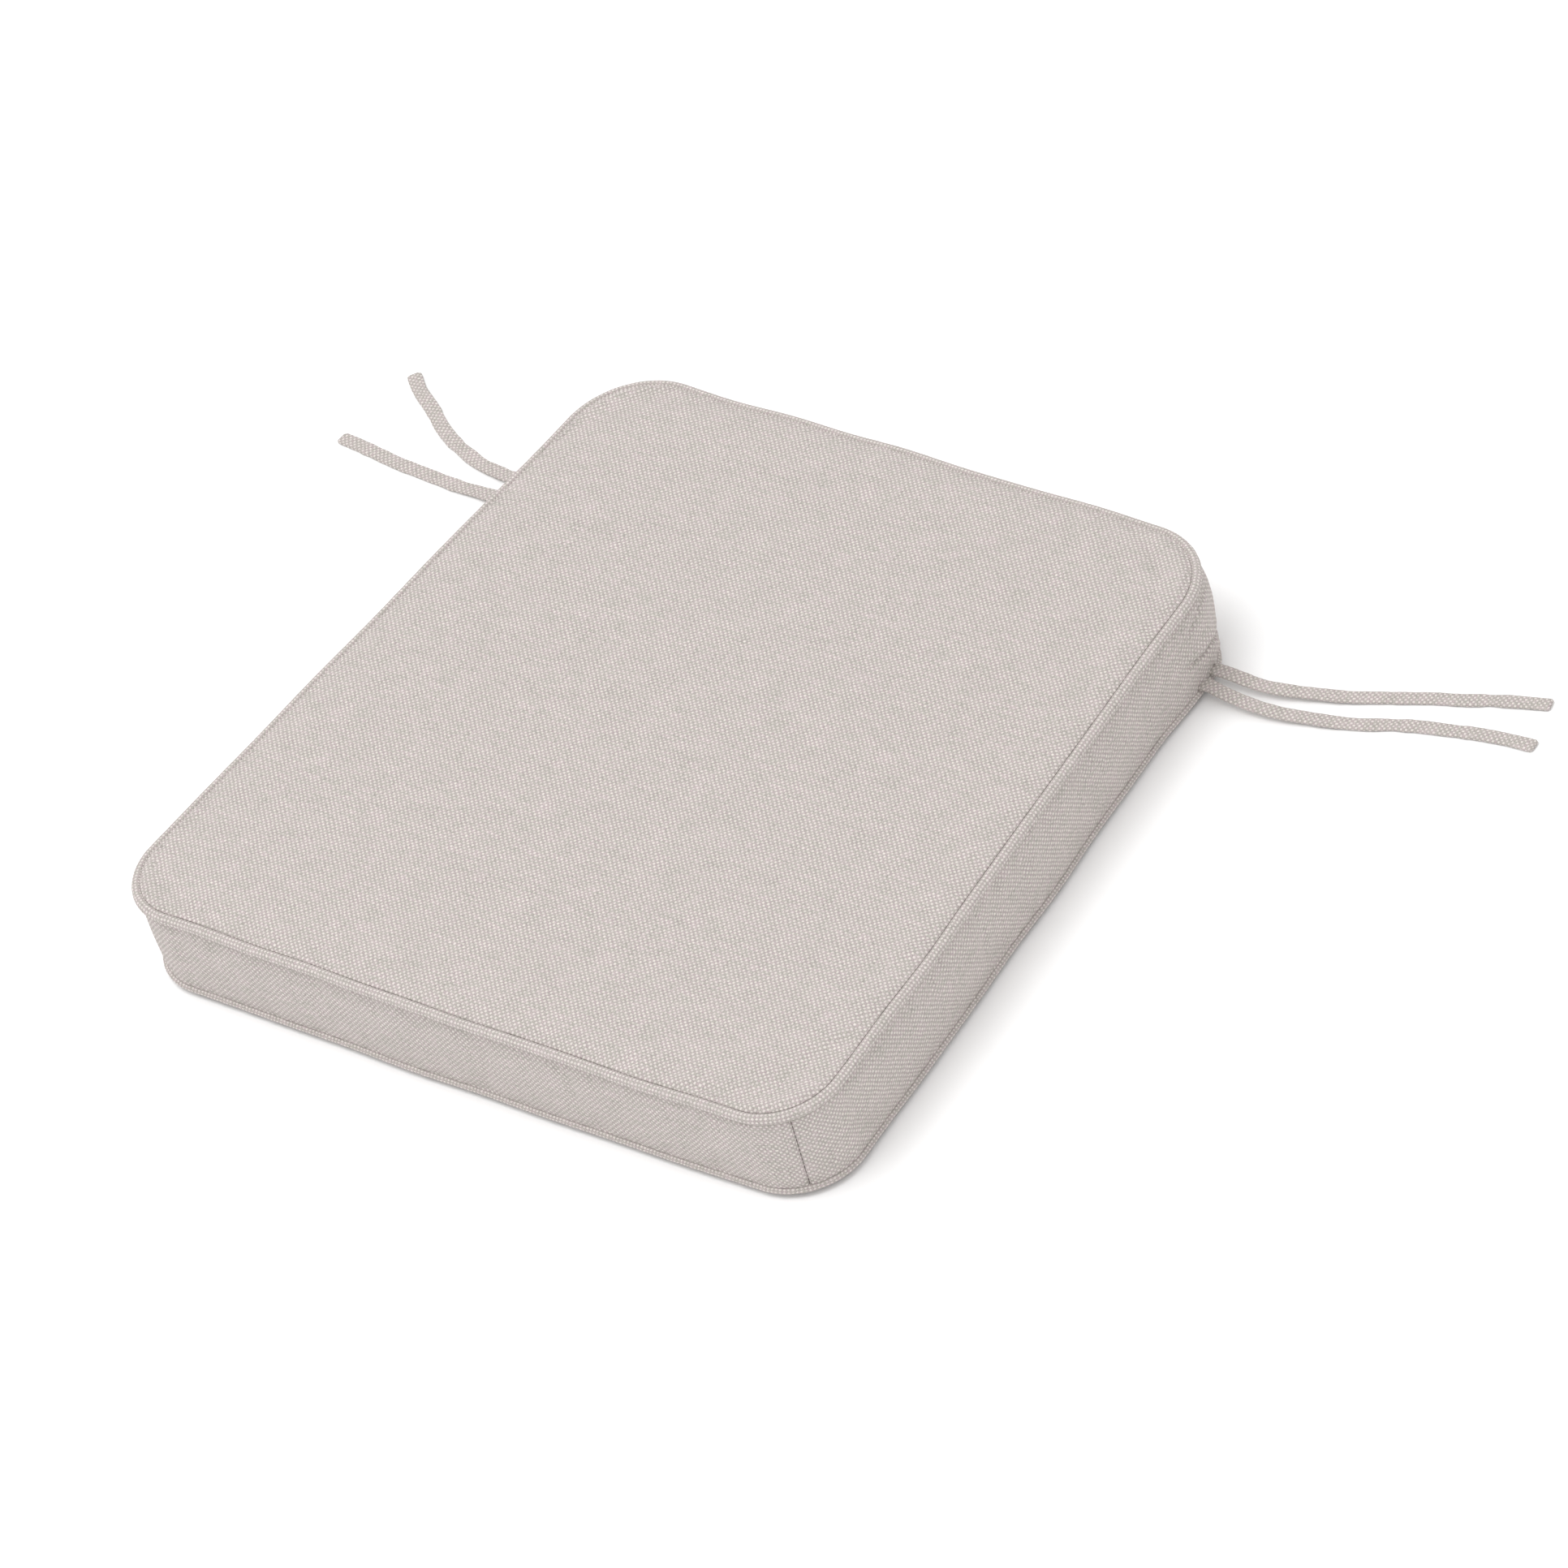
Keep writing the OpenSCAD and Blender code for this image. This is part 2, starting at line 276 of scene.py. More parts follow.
@dataclass(frozen=True)
class Canvas(Finish):
    """Plain-weave canvas of thick slubby yarns, pale warp over a slightly darker weft."""

    grain: Grain = Grain.PAD
    pitch: float = 1.45 * MM
    relief: float = 0.28 * MM
    warp: tuple = (0.690, 0.646, 0.604, 1.0)
    warp_tint: tuple = (0.620, 0.560, 0.546, 1.0)
    weft: tuple = (0.470, 0.442, 0.402, 1.0)
    weft_tint: tuple = (0.455, 0.385, 0.385, 1.0)
    gap_shade: float = 0.26
    slub: float = 0.24
    cloud: float = 0.05
    speck: float = 0.26
    streak: float = 9.0
    wander: float = 0.8

    def threads(self, graph: Graph) -> tuple[Value, Value]:
        """Where a point is, counted in threads, which wander a little to the side.

        Args:
            graph: the material's graph.

        Returns:
            The count across the warp threads and the count across the weft threads.
        """
        x, y, _ = graph.coordinates("Object" if self.grain is Grain.PAD else "UV")
        if self.grain is Grain.BIAS:
            turned = math.sqrt(0.5)
            x, y = (x + y) * turned, (y - x) * turned
        across, along = x * (1 / self.pitch), y * (1 / self.pitch)
        sideways = graph.noise((across / 3, along / 9, 41.0), 1.0, 2.0) - 0.5
        lengthways = graph.noise((across / 9, along / 3, 53.0), 1.0, 2.0) - 0.5
        return across + sideways * self.wander, along + lengthways * self.wander

    def paint(self, graph: Graph) -> None:
        """Checkers of warp and weft: the product of the cosines across both sets of threads is
        positive where the warp lies on top. Its size is the relief, which falls to nothing in
        the gaps. Each yarn has long slubs, and clouds of tone lie over all."""
        across, along = self.threads(graph)
        checker = (across * math.pi).cosine() * (along * math.pi).cosine()
        crown = abs(checker) ** 0.6
        on_top = checker.step(-0.35, 0.35)
        warp_slub = graph.noise((across, along / self.streak, 3.0), 1.0, 2.0)
        weft_slub = graph.noise((across / self.streak, along, 11.0), 1.0, 2.0)
        cloud = graph.noise((across / 16, along / 8, 23.0), 1.0, 2.0)
        fine = graph.noise((across, along, 31.0), 1.2, 2.0)
        warp = graph.mix(warp_slub.step(0.42, 0.62), self.warp, self.warp_tint)
        weft = graph.mix(weft_slub.step(0.40, 0.60), self.weft, self.weft_tint)
        slubs = (warp_slub + weft_slub - 1) * (2 * self.slub)
        clouds = (cloud - 0.5) * (2 * self.cloud) + (fine - 0.5) * (2 * self.speck)
        tone = (1 - (1 - crown) * self.gap_shade) * (1 + slubs + clouds)
        graph.surface(
            {
                "Base Color": graph.shade(graph.mix(on_top, weft, warp), tone),
                "Roughness": 0.95,
                "Specular IOR Level": 0.15,
                "Sheen Weight": 0.05,
                "Sheen Roughness": 0.6,
                "Normal": graph.bump(crown + fine * 0.4, self.relief, 0.7),
            }
        )


@dataclass(frozen=True)
class Foam(Finish):
    """Open-cell polyurethane foam, cream and matt, with small cut cells."""

    colour: tuple = (0.78, 0.72, 0.52, 1.0)
    # painted shade: the darker colour in the hollows of the cells
    hollow_shade: tuple = (0.55, 0.48, 0.30, 1.0)
    cell: float = 1.1 * MM

    def paint(self, graph: Graph) -> None:
        """Cells of a Voronoi pattern, with painted shade darkening their hollows."""
        source = graph.node("ShaderNodeTexCoord").outputs["Object"]
        inputs = {"Vector": source, "Scale": 1 / self.cell}
        cells = Value(graph, graph.node("ShaderNodeTexVoronoi", None, inputs).outputs["Distance"])
        colour = graph.mix(cells.step(0.15, 0.6), self.hollow_shade, self.colour)
        normal = graph.bump(cells, 0.4 * MM)
        graph.surface({"Base Color": colour, "Roughness": 0.9, "Normal": normal})


@dataclass(frozen=True)
class Fibres(Finish):
    """White polyester fibres: loose in wadding, or spun into the filler cord of a piping."""

    colour: tuple = (0.86, 0.86, 0.84, 1.0)
    shadow: tuple = (0.60, 0.60, 0.58, 1.0)
    coordinates: str = "Object"
    run: float = 0.35 * MM
    length: float = 7 * MM

    def paint(self, graph: Graph) -> None:
        """Noise drawn out along the fibres, crossed with noise drawn out the other way."""
        x, y, z = graph.coordinates(self.coordinates)
        one = graph.noise((x / self.run, y / self.length, z / self.length), 1.0, 2.0)
        other = graph.noise((x / self.length, y / self.run, z / self.run), 1.0, 2.0)
        height = (one + other) * 0.5
        colour = graph.mix(height.step(0.35, 0.6), self.shadow, self.colour)
        normal = graph.bump(height, 0.3 * MM)
        graph.surface({"Base Color": colour, "Roughness": 0.85, "Normal": normal})


@dataclass(frozen=True)
class ZipTape(Finish):
    """Woven polyester zip tape, in fine ribs along its length."""

    colour: tuple = (0.66, 0.61, 0.57, 1.0)
    rib: float = 0.55 * MM

    def paint(self, graph: Graph) -> None:
        """Ribs: the cosine across the tape, cut by the cosine along it. The low parts between the ribs
        are darkened as painted shade.
        """
        x, _, z = graph.coordinates("Object")
        ribs = (z * (2 * math.pi / self.rib)).cosine() * 0.5 + 0.5
        picks = ((x + z) * (2 * math.pi / (self.rib * 1.4))).cosine() * 0.5 + 0.5
        height = ribs * 0.7 + picks * 0.3
        # painted shade: the grooves between the ribs are darker
        groove_shade = tuple(0.72 * part for part in self.colour[:3]) + (1.0,)
        colour = graph.mix(height.step(0.1, 0.7), groove_shade, self.colour)
        normal = graph.bump(height, 0.12 * MM)
        graph.surface({"Base Color": colour, "Roughness": 0.8, "Normal": normal})


@dataclass(frozen=True)
class Smooth(Finish):
    """A smooth hard finish, of moulded nylon or of plated metal, a little uneven from wear."""

    colour: tuple = (0.70, 0.66, 0.62, 1.0)
    worn: tuple = (0.62, 0.58, 0.54, 1.0)
    roughness: float = 0.35
    metallic: float = 0.0
    grain: float = 2.5 * MM

    def paint(self, graph: Graph) -> None:
        """Soft noise in the colour and the roughness, with a shallow relief."""
        x, y, z = graph.coordinates("Object")
        place = (x / self.grain, y / self.grain, z / self.grain)
        wear = graph.noise(place, 1.0, 3.0)
        inputs = {
            "Base Color": graph.mix(wear.step(0.35, 0.7), self.colour, self.worn),
            "Roughness": self.roughness + (wear - 0.5) * 0.3,
            "Metallic": self.metallic,
            "Normal": graph.bump(wear, 0.03 * MM, 0.5),
        }
        graph.surface(inputs)


@dataclass(frozen=True)
class Thread(Finish):
    """Twisted polyester sewing thread."""

    colour: tuple = (0.80, 0.76, 0.71, 1.0)
    twist: float = 0.45 * MM

    def paint(self, graph: Graph) -> None:
        """Strands that wind round: the cosine of a slanting coordinate. The grooves between the
        strands are darkened as painted shade.
        """
        across, along, _ = graph.coordinates("UV")
        strands = ((along + across) * (2 * math.pi / self.twist)).cosine() * 0.5 + 0.5
        # painted shade: the grooves between the strands are darker
        groove_shade = tuple(0.6 * part for part in self.colour[:3]) + (1.0,)
        colour = graph.mix(strands.step(0.0, 0.6), groove_shade, self.colour)
        normal = graph.bump(strands, 0.08 * MM)
        graph.surface({"Base Color": colour, "Roughness": 0.55, "Normal": normal})


@dataclass(frozen=True)
class Matt(Finish):
    """The studio floor: plain, pale and matt."""

    colour: tuple = (0.97, 0.97, 0.97, 1.0)

    def paint(self, graph: Graph) -> None:
        """One pale colour."""
        graph.surface({"Base Color": self.colour, "Roughness": 1.0, "Specular IOR Level": 0.0})


PANEL_CANVAS = Canvas("canvas_panel", Grain.PAD)
STRIP_CANVAS = Canvas("canvas_strip", Grain.ROLL)
BIAS_CANVAS = Canvas("canvas_bias", Grain.BIAS)
FOAM = Foam("foam")
WADDING = Fibres("wadding")
FILLER = Fibres("filler_cord", coordinates="UV", run=0.5 * MM, length=12 * MM)
ZIP_TAPE = ZipTape("zip_tape")
NYLON = Smooth("nylon_coil")
NICKEL = Smooth(
    "nickel", (0.66, 0.64, 0.60, 1.0), (0.56, 0.54, 0.50, 1.0), roughness=0.28, metallic=1.0
)
THREAD = Thread("thread")


# ---- Meshes ----


def ramp(values: Array, low: float, high: float) -> Array:
    """A smooth step on an array: 0 below low and 1 above high, as 3t² - 2t³ between."""
    part = np.clip((values - low) / (high - low), 0.0, 1.0)
    return part * part * (3 - 2 * part)


def bell(values: Array, centre: float | Array, spread: float) -> Array:
    """A bell curve of height 1: e to the power of minus the squared distance over spread."""
    return np.exp(-(((values - centre) / spread) ** 2))


def closed(grid: Array) -> Array:
    """The grid with its first column again after its last."""
    return np.concatenate([grid, grid[:, :1]], axis=1)


def cloth_grid(along: Array, across: Array) -> Array:
    """Cloth coordinates of a grid: the column's place along and the row's place across."""
    return np.stack(np.meshgrid(along, across), axis=-1)


def steps_along(points: Array) -> Array:
    """The distance of each point of a line from its first point."""
    return np.concatenate([[0.0], np.cumsum(np.linalg.norm(np.diff(points, axis=0), axis=1))])


def square_to(path: Array, axis: tuple[float, float, float]) -> tuple[Array, Array]:
    """Two unit directions at each point of a path, square to it and to each other.

    Args:
        path: the path's points.
        axis: what the first direction is square to as well.

    Returns:
        The two directions.
    """
    ahead = np.gradient(path, axis=0)
    ahead /= np.linalg.norm(ahead, axis=1)[:, None]
    aside = np.cross(axis, ahead)
    aside /= np.linalg.norm(aside, axis=1)[:, None]
    return aside, np.cross(ahead, aside)


class Patchwork:
    """Grids of points, joined by quads into one mesh."""

    def __init__(self) -> None:
        """Starts without points."""
        self.points: list[Array] = []
        self.quads: list[Array] = []
        self.cloth: list[Array] = []
        self.count = 0

    def place(self, points: Array) -> Array:
        """Adds points.

        Args:
            points: a grid of points, with x, y and z last.

        Returns:
            The grid of their indices.
        """
        flat = points.reshape(-1, 3)
        index = np.arange(self.count, self.count + len(flat)).reshape(points.shape[:-1])
        self.points.append(flat)
        self.count += len(flat)
        return index

    def lay(self, index: Array, cloth: Array, turned: bool = False) -> None:
        """Adds the quads between neighbours. They face along rows times columns.

        Args:
            index: a grid of indices.
            cloth: the cloth coordinates of the same grid.
            turned: whether the quads face the other way.
        """
        order = slice(None, None, -1) if turned else slice(None)
        for grid, target in ((index, self.quads), (cloth, self.cloth)):
            corners = np.stack([grid[:-1, :-1], grid[1:, :-1], grid[1:, 1:], grid[:-1, 1:]], 2)
            target.append(corners.reshape(-1, 4, *grid.shape[2:])[:, order])

    def cap(self, loop: Array, cloth: Array, turned: bool = False) -> None:
        """Closes a flat loop with quads between its two halves.

        Args:
            loop: an even number of indices round the loop.
            cloth: their cloth coordinates.
            turned: whether the quads face the other way.
        """
        half = len(loop) // 2
        pair, cloths = (np.stack([part[:half], part[half:][::-1]]) for part in (loop, cloth))
        self.lay(pair, cloths, turned)

    def rod(
        self, rings: Array, cloth: Array, ends: tuple | None = None, turned: bool = True
    ) -> None:
        """Adds a tube with a cap at both ends.

        Args:
            rings: its points, a ring to a row.
            cloth: their cloth coordinates, with the first column again after the last.
            ends: the caps' cloth coordinates, or nothing for those of the end rings.
            turned: whether the tube's quads face the other way.
        """
        index = self.place(rings)
        first, last = ends or (cloth[0, :-1], cloth[-1, :-1])
        self.lay(closed(index), cloth, turned)
        self.cap(index[0], first, not turned)
        self.cap(index[-1], last, turned)

    def build(self, name: str, finish: Finish | None = None) -> bpy.types.Object:
        """Makes the object.

        Args:
            name: the piece's name.
            finish: what it is made of.

        Returns:
            The object, smooth-shaded, at the origin.
        """
        quads = np.concatenate(self.quads)
        mesh = bpy.data.meshes.new(name)
        mesh.from_pydata(np.concatenate(self.points).tolist(), [], quads.tolist())
        uv = mesh.uv_layers.new(name="cloth")
        uv.data.foreach_set("uv", np.concatenate(self.cloth).astype(np.float32).ravel())
        mesh.polygons.foreach_set("use_smooth", np.ones(len(quads), bool))
        if finish is not None:
            mesh.materials.append(finish.material())
        piece = bpy.data.objects.new(name, mesh)
        bpy.context.scene.collection.objects.link(piece)
        return piece


def settle(
    piece: bpy.types.Object, node: str, thickness: float = 0.0
) -> bpy.types.Object:
    """Puts a piece on the pad, in place of a CAD node.

    Args:
        piece: the piece.
        node: the CAD node that it stands for.
        thickness: how thick its cloth is, inwards from its outer face, or 0 for a solid.

    Returns:
        The piece.
    """
    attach(piece, "pad")
    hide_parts(node)
    if thickness:
        cloth = piece.modifiers.new("thickness", "SOLIDIFY")
        cloth.thickness = thickness
        cloth.offset = -1
        cloth.use_even_offset = False
    log.info("%s: %d faces", piece.name, len(piece.data.polygons))
    return piece


def waves(place: Array, period: float, slowest: int, fastest: int, seed: int) -> Array:
    """A smooth uneven line that closes on itself: a sum of sines with whole numbers of waves
    in the period, each lower in proportion to its number, and scaled to a deviation of 1.

    Args:
        place: where it is wanted.
        period: the length after which it repeats.
        slowest: the smallest number of waves.
        fastest: the largest number of waves.
        seed: what its phases are drawn from.

    Returns:
        Its height at each place.
    """
    counts = np.arange(slowest, fastest + 1)
    phases = np.random.default_rng(seed).uniform(0, 2 * np.pi, len(counts))
    weights = 1 / counts
    weights = weights / np.sqrt((weights**2).sum() / 2)
    turns = 2 * np.pi * np.asarray(place)[..., None] / period
    return (weights * np.sin(turns * counts + phases)).sum(-1)


# ---- The outline ----


@dataclass(frozen=True)
class Outline:
    """The line that the piping follows, a trapezoid with four round corners, a little bowed
    and uneven. Places on it are arc lengths from the start of the back right corner, going
    round by the back, the left side, the front and the right side."""

    front_w: float = 430 * MM
    back_w: float = 378 * MM
    depth: float = 406 * MM
    front_r: float = 35 * MM
    back_r: float = 43 * MM
    thick: float = 56 * MM
    bows: tuple = (0.4 * MM, 0.4 * MM, 1.3 * MM, 0.4 * MM)
    sways: tuple = (0.0, 0.0, -0.3 * MM, 0.7 * MM)
    uneven: float = 0.28 * MM
    tuck: float = 3.0 * MM
    side_tuck: float = 1.3 * MM
    arc_steps: int = 60
    run_steps: int = 40

    @cached_property
    def lean(self) -> float:
        """How far the sides lean inwards towards the back, in radians."""
        return math.atan((self.front_w - self.back_w) / 2 / self.depth)

    @cached_property
    def corners(self) -> list[tuple[float, float, float, float, float]]:
        """Each corner: centre x, centre y, radius, and first and last heading in radians."""
        lean, turn = self.lean, math.pi
        back_x = self.back_w / 2 - self.back_r * (1 - math.sin(lean)) / math.cos(lean)
        front_x = self.front_w / 2 - self.front_r * (1 + math.sin(lean)) / math.cos(lean)
        back_y = self.depth / 2 - self.back_r
        front_y = self.front_r - self.depth / 2
        return [
            (back_x, back_y, self.back_r, lean, turn / 2),
            (-back_x, back_y, self.back_r, turn / 2, turn - lean),
            (-front_x, front_y, self.front_r, turn - lean, 1.5 * turn),
            (front_x, front_y, self.front_r, 1.5 * turn, 2 * turn + lean),
        ]

    @cached_property
    def line(self) -> tuple[Array, Array, Array, Array]:
        """The line's arc lengths, points, headings and how far it is bowed outwards. Each
        corner is an arc, and each straight run bows as half a sine wave and sways as a
        whole one."""
        points, headings, bows = [], [], []
        for number, (x, y, radius, first, last) in enumerate(self.corners):
            turn = np.linspace(first, last, self.arc_steps)
            points.append(np.stack([x + radius * np.cos(turn), y + radius * np.sin(turn)], 1))
            headings.append(turn)
            bows.append(np.zeros(self.arc_steps))
            x, y, radius, heading, _ = self.corners[(number + 1) % 4]
            start, part = points[-1][-1], np.linspace(0, 1, self.run_steps)[1:-1]
            end = np.array([x + radius * math.cos(heading), y + radius * math.sin(heading)])
            points.append(start + part[:, None] * (end - start))
            headings.append(np.full(len(part), last))
            bow, sway = self.bows[number], self.sways[number]
            bows.append(bow * np.sin(np.pi * part) + sway * np.sin(2 * np.pi * part))
        points.append(points[0][:1])
        headings.append(headings[0][:1] + 2 * np.pi)
        bows.append(bows[0][:1])
        points = np.concatenate(points)
        return steps_along(points), points, np.concatenate(headings), np.concatenate(bows)

    @property
    def length(self) -> float:
        """The length once round."""
        return float(self.line[0][-1])

    def place(self, degrees: float) -> float:
        """Where the line's outward side has this heading, in degrees from +X."""
        return float(np.interp(math.radians(degrees), self.line[2], self.line[0]))

    def tucked(self, place: Array) -> Array:
        """How far the bottom edge is drawn in: a little along the right side and more under
        the back right corner, but not at the ties."""
        near = (place + self.length / 2) % self.length - self.length / 2
        side = ramp(near, -350 * MM, -290 * MM) * (1 - ramp(near, -50 * MM, -14 * MM))
        corner = ramp(near, 9 * MM, 26 * MM) * (1 - ramp(near, 58 * MM, 90 * MM))
        return self.side_tuck * side + self.tuck * corner

    def at(self, place: Array, out: Array | float, z: Array | float) -> Array:
        """Points beside the line.

        Args:
            place: arc lengths along the line.
            out: how far outwards from it.
            z: their heights.

        Returns:
            The points, with x, y and z last.
        """
        place, out, z = np.broadcast_arrays(np.asarray(place, float), out, z)
        lengths, points, headings, bows = self.line
        there = place % self.length
        heading = np.interp(there, lengths, headings)
        high = np.clip(z / self.thick, 0, 1)
        top = waves(there, self.length, 9, 26, 5)
        bottom = waves(there, self.length, 8, 24, 12)
        away = out + np.interp(there, lengths, bows) - self.tucked(there) * (1 - high) ** 2
        away = away + self.uneven * (top * high + bottom * (1 - high))
        x = np.interp(there, lengths, points[:, 0]) + away * np.cos(heading)
        y = np.interp(there, lengths, points[:, 1]) + away * np.sin(heading)
        return np.stack([x, y, z], -1)


# ---- The studio ----


@dataclass(frozen=True)
class Studio:
    """Camera, pale floor and soft light."""

    target: tuple = (0.048, 0.007, 0.028)
    distance: float = 5.371
    azimuth: float = 49.29
    elevation: float = 41.93
    roll: float = -20.0
    lens: float = 253.5
    sensor: float = 36.0
    floor_size: float = 12.0
    floor_drop: float = 0.2 * MM
    sky: float = 1.0
    key_power: float = 62.0
    key_size: float = 2.4
    key_distance: float = 4.0
    key_from: tuple = (-0.20, -0.25, 0.945)

    def camera(self) -> None:
        """The camera looks at the target, with its picture turned by the roll."""
        around, up = math.radians(self.azimuth), math.radians(self.elevation)
        flat = math.cos(up)
        back = Vector((math.sin(around) * flat, -math.cos(around) * flat, math.sin(up)))
        level = (-back).cross(Vector((0, 0, 1))).normalized()
        upright = level.cross(-back)
        cos_roll, sin_roll = math.cos(math.radians(self.roll)), math.sin(math.radians(self.roll))
        right = level * cos_roll + upright * sin_roll
        above = upright * cos_roll - level * sin_roll
        data = bpy.data.cameras.new("camera")
        data.lens, data.sensor_width, data.clip_end = self.lens, self.sensor, 100.0
        camera = bpy.data.objects.new("camera", data)
        turn = Matrix((right, above, back)).transposed().to_4x4()
        camera.matrix_world = Matrix.Translation(Vector(self.target) + back * self.distance) @ turn
        bpy.context.scene.collection.objects.link(camera)
        bpy.context.scene.camera = camera

    def floor(self) -> None:
        """A wide flat floor just under the pad."""
        half = self.floor_size / 2
        patch = Patchwork()
        x, y = np.meshgrid([-half, half], [-half, half])
        corners = np.stack([x, y, np.full_like(x, -self.floor_drop)], -1)
        patch.lay(patch.place(corners), corners[..., :2], turned=True)
        patch.build("floor", Matt("floor_matt"))

    def light(self) -> None:
        """A white sky, and one large soft lamp above the front left."""
        world = bpy.data.worlds.new("studio")
        world.use_nodes = True
        background = world.node_tree.nodes["Background"]
        background.inputs["Color"].default_value = (1.0, 1.0, 1.0, 1.0)
        background.inputs["Strength"].default_value = self.sky
        bpy.context.scene.world = world
        lamp = bpy.data.lights.new("key_light", "AREA")
        lamp.size, lamp.energy = self.key_size, self.key_power
        key = bpy.data.objects.new("key_light", lamp)
        towards = Vector(self.key_from).normalized()
        key.location = towards * self.key_distance
        key.rotation_mode = "QUATERNION"
        key.rotation_quaternion = towards.to_track_quat("Z", "Y")
        bpy.context.scene.collection.objects.link(key)
        bpy.context.scene.view_settings.view_transform = "Standard"

    def build(self) -> None:
        """Makes the whole studio."""
        self.camera()
        self.floor()
        self.light()


# ---- Ties ----


@dataclass(frozen=True)
class Tie:
    """A narrow folded tape, sewn into the bottom seam at one end and free at the other. Its
    route is a distance to the side, a distance to the back and a height, from the seam."""

    name: str
    node: str
    side: int
    place: int
    route: tuple[tuple[float, float, float], ...]
    width: float = 8 * MM
    thick: float = 1.6 * MM
    pitch: float = 11 * MM
    inset: float = 0.5 * MM
    tip_r: float = 1.1 * MM
    step: float = 1.2 * MM
    squareness: float = 3.2
    profile_steps: int = 28
    groove: float = 0.28 * MM

    def exit(self, outline: Outline) -> Array:
        """Where it leaves the bottom seam, beside the start of a back corner."""
        x, y, radius, lean, _ = outline.corners[0]
        reach = radius - self.inset
        aside = self.place * self.pitch / 2
        across = x + reach * math.cos(lean) - aside * math.sin(lean)
        back = y + reach * math.sin(lean) + aside * math.cos(lean)
        return np.array([self.side * across, back, 0.0])

    def path(self, outline: Outline) -> Array:
        """The middle of each ring: a Catmull-Rom curve through the route's points, at even
        steps."""
        route = np.array(self.route) * (self.side, 1, 1) * MM + self.exit(outline)
        knots = np.concatenate([2 * route[:1] - route[1:2], route, 2 * route[-1:] - route[-2:-1]])
        part = np.linspace(0, 1, 24, endpoint=False)[:, None, None]
        before, first, second, after = (knots[n : len(knots) - 3 + n][None] for n in range(4))
        curve = 0.5 * (
            2 * first
            + (second - before) * part
            + (2 * before - 5 * first + 4 * second - after) * part**2
            + (3 * first - before - 3 * second + after) * part**3
        )
        fine = np.concatenate([curve.transpose(1, 0, 2).reshape(-1, 3), route[-1:]])
        along = steps_along(fine)
        even = np.linspace(0, along[-1], round(along[-1] / self.step) + 1)
        return np.stack([np.interp(even, along, fine[:, axis]) for axis in range(3)], 1)

    def section(self) -> tuple[Array, Array]:
        """The flat section: a squarish superellipse whose one side is grooved where the two
        folded edges meet.

        Returns:
            Its places across and up, one half round from its groove.
        """
        turn = (np.arange(self.profile_steps) + 0.5) * 2 * np.pi / self.profile_steps
        power = 2 / self.squareness
        across = np.sign(np.cos(turn)) * np.abs(np.cos(turn)) ** power * self.width / 2
        up = np.sign(np.sin(turn)) * np.abs(np.sin(turn)) ** power * self.thick / 2
        across = across - self.groove * bell(up, 0, self.thick / 5) * (across > 0)
        return across, up

    def build(self, outline: Outline) -> None:
        """Sweeps the section along the path, keeping it level, with rounded square tips."""
        path = self.path(outline)
        along = steps_along(path)
        aside, above = square_to(path, (0.0, 0.0, 1.0))
        from_tip = np.minimum(np.minimum(along, along[-1] - along) / self.tip_r, 1)
        narrow = 1 - (1 - np.sqrt(1 - (1 - from_tip) ** 2)) * 2 * self.tip_r / self.width
        uneven = 1 + 0.025 * waves(along, along[-1], 6, 30, 40 + len(self.name) + self.place)
        across, up = self.section()
        rings = (
            path[:, None]
            + (across * (narrow * uneven)[:, None])[..., None] * aside[:, None]
            + (up * (0.6 + 0.4 * from_tip)[:, None])[..., None] * above[:, None]
        )
        round_it = steps_along(np.stack([across, up, up * 0], 1))
        last = round_it[-1] + np.hypot(across[0] - across[-1], up[0] - up[-1])
        cloth = cloth_grid(np.append(round_it, last), along)
        patch = Patchwork()
        flat = np.stack([across, up], 1)
        patch.rod(rings, cloth, (flat, flat + (0, along[-1])))
        piece = settle(patch.build(self.name, STRIP_CANVAS), self.node)


TIES = (
    Tie(
        "tie_right_rear", "right_tie_rear", 1, 1,
        (
            (0, 0, 6.3), (7, 0, 6.3), (14, 0, 5.9), (30, 0, 4.7), (45, 3, 3.5), (59, 7, 2.4),
            (73, 11, 1.6), (86, 16, 1.1), (100, 21, 0.9), (114, 26, 0.9), (128, 30, 0.9),
            (142, 35, 0.9), (156, 39, 0.9), (172, 43, 0.9),
        ),
    ),
    Tie(
        "tie_right_front", "right_tie_front", 1, -1,
        (
            (0, 0, 6.3), (7, 0, 6.3), (13, -1, 5.9), (30, -2, 4.6), (46, -1, 3.4), (61, 2, 2.3),
            (75, 5, 1.5), (89, 9, 0.9), (103, 14, 0.9), (117, 18, 0.9), (132, 21, 0.9),
            (147, 24, 0.9), (163, 26, 0.9), (179, 27, 0.9),
        ),
    ),
    Tie(
        "tie_left_rear", "left_tie_rear", -1, 1,
        (
            (0, 0, 6.3), (7, 0, 6.3), (15, -1, 5.7), (27, -4, 4.7), (40, -8, 3.4), (53, -11, 2.3),
            (64, -10, 1.7), (77, -8, 1.2), (89, -4, 0.9), (102, 1, 0.9), (115, 8, 0.9),
            (128, 17, 0.9), (143, 26, 0.9), (154, 35, 0.9),
        ),
    ),
    Tie(
        "tie_left_front", "left_tie_front", -1, -1,
        (
            (0, 0, 6.3), (7, 0, 6.3), (15, -2, 5.7), (27, -7, 4.8), (40, -12, 3.6), (54, -15, 2.5),
            (65, -15, 1.8), (76, -15, 1.3), (91, -14, 0.9), (105, -13, 0.9), (120, -12, 0.9),
            (135, -10, 0.9), (151, -8, 0.9), (162, -7, 0.9),
        ),
    ),
)


# ---- Slabs: panels, foam and wadding ----


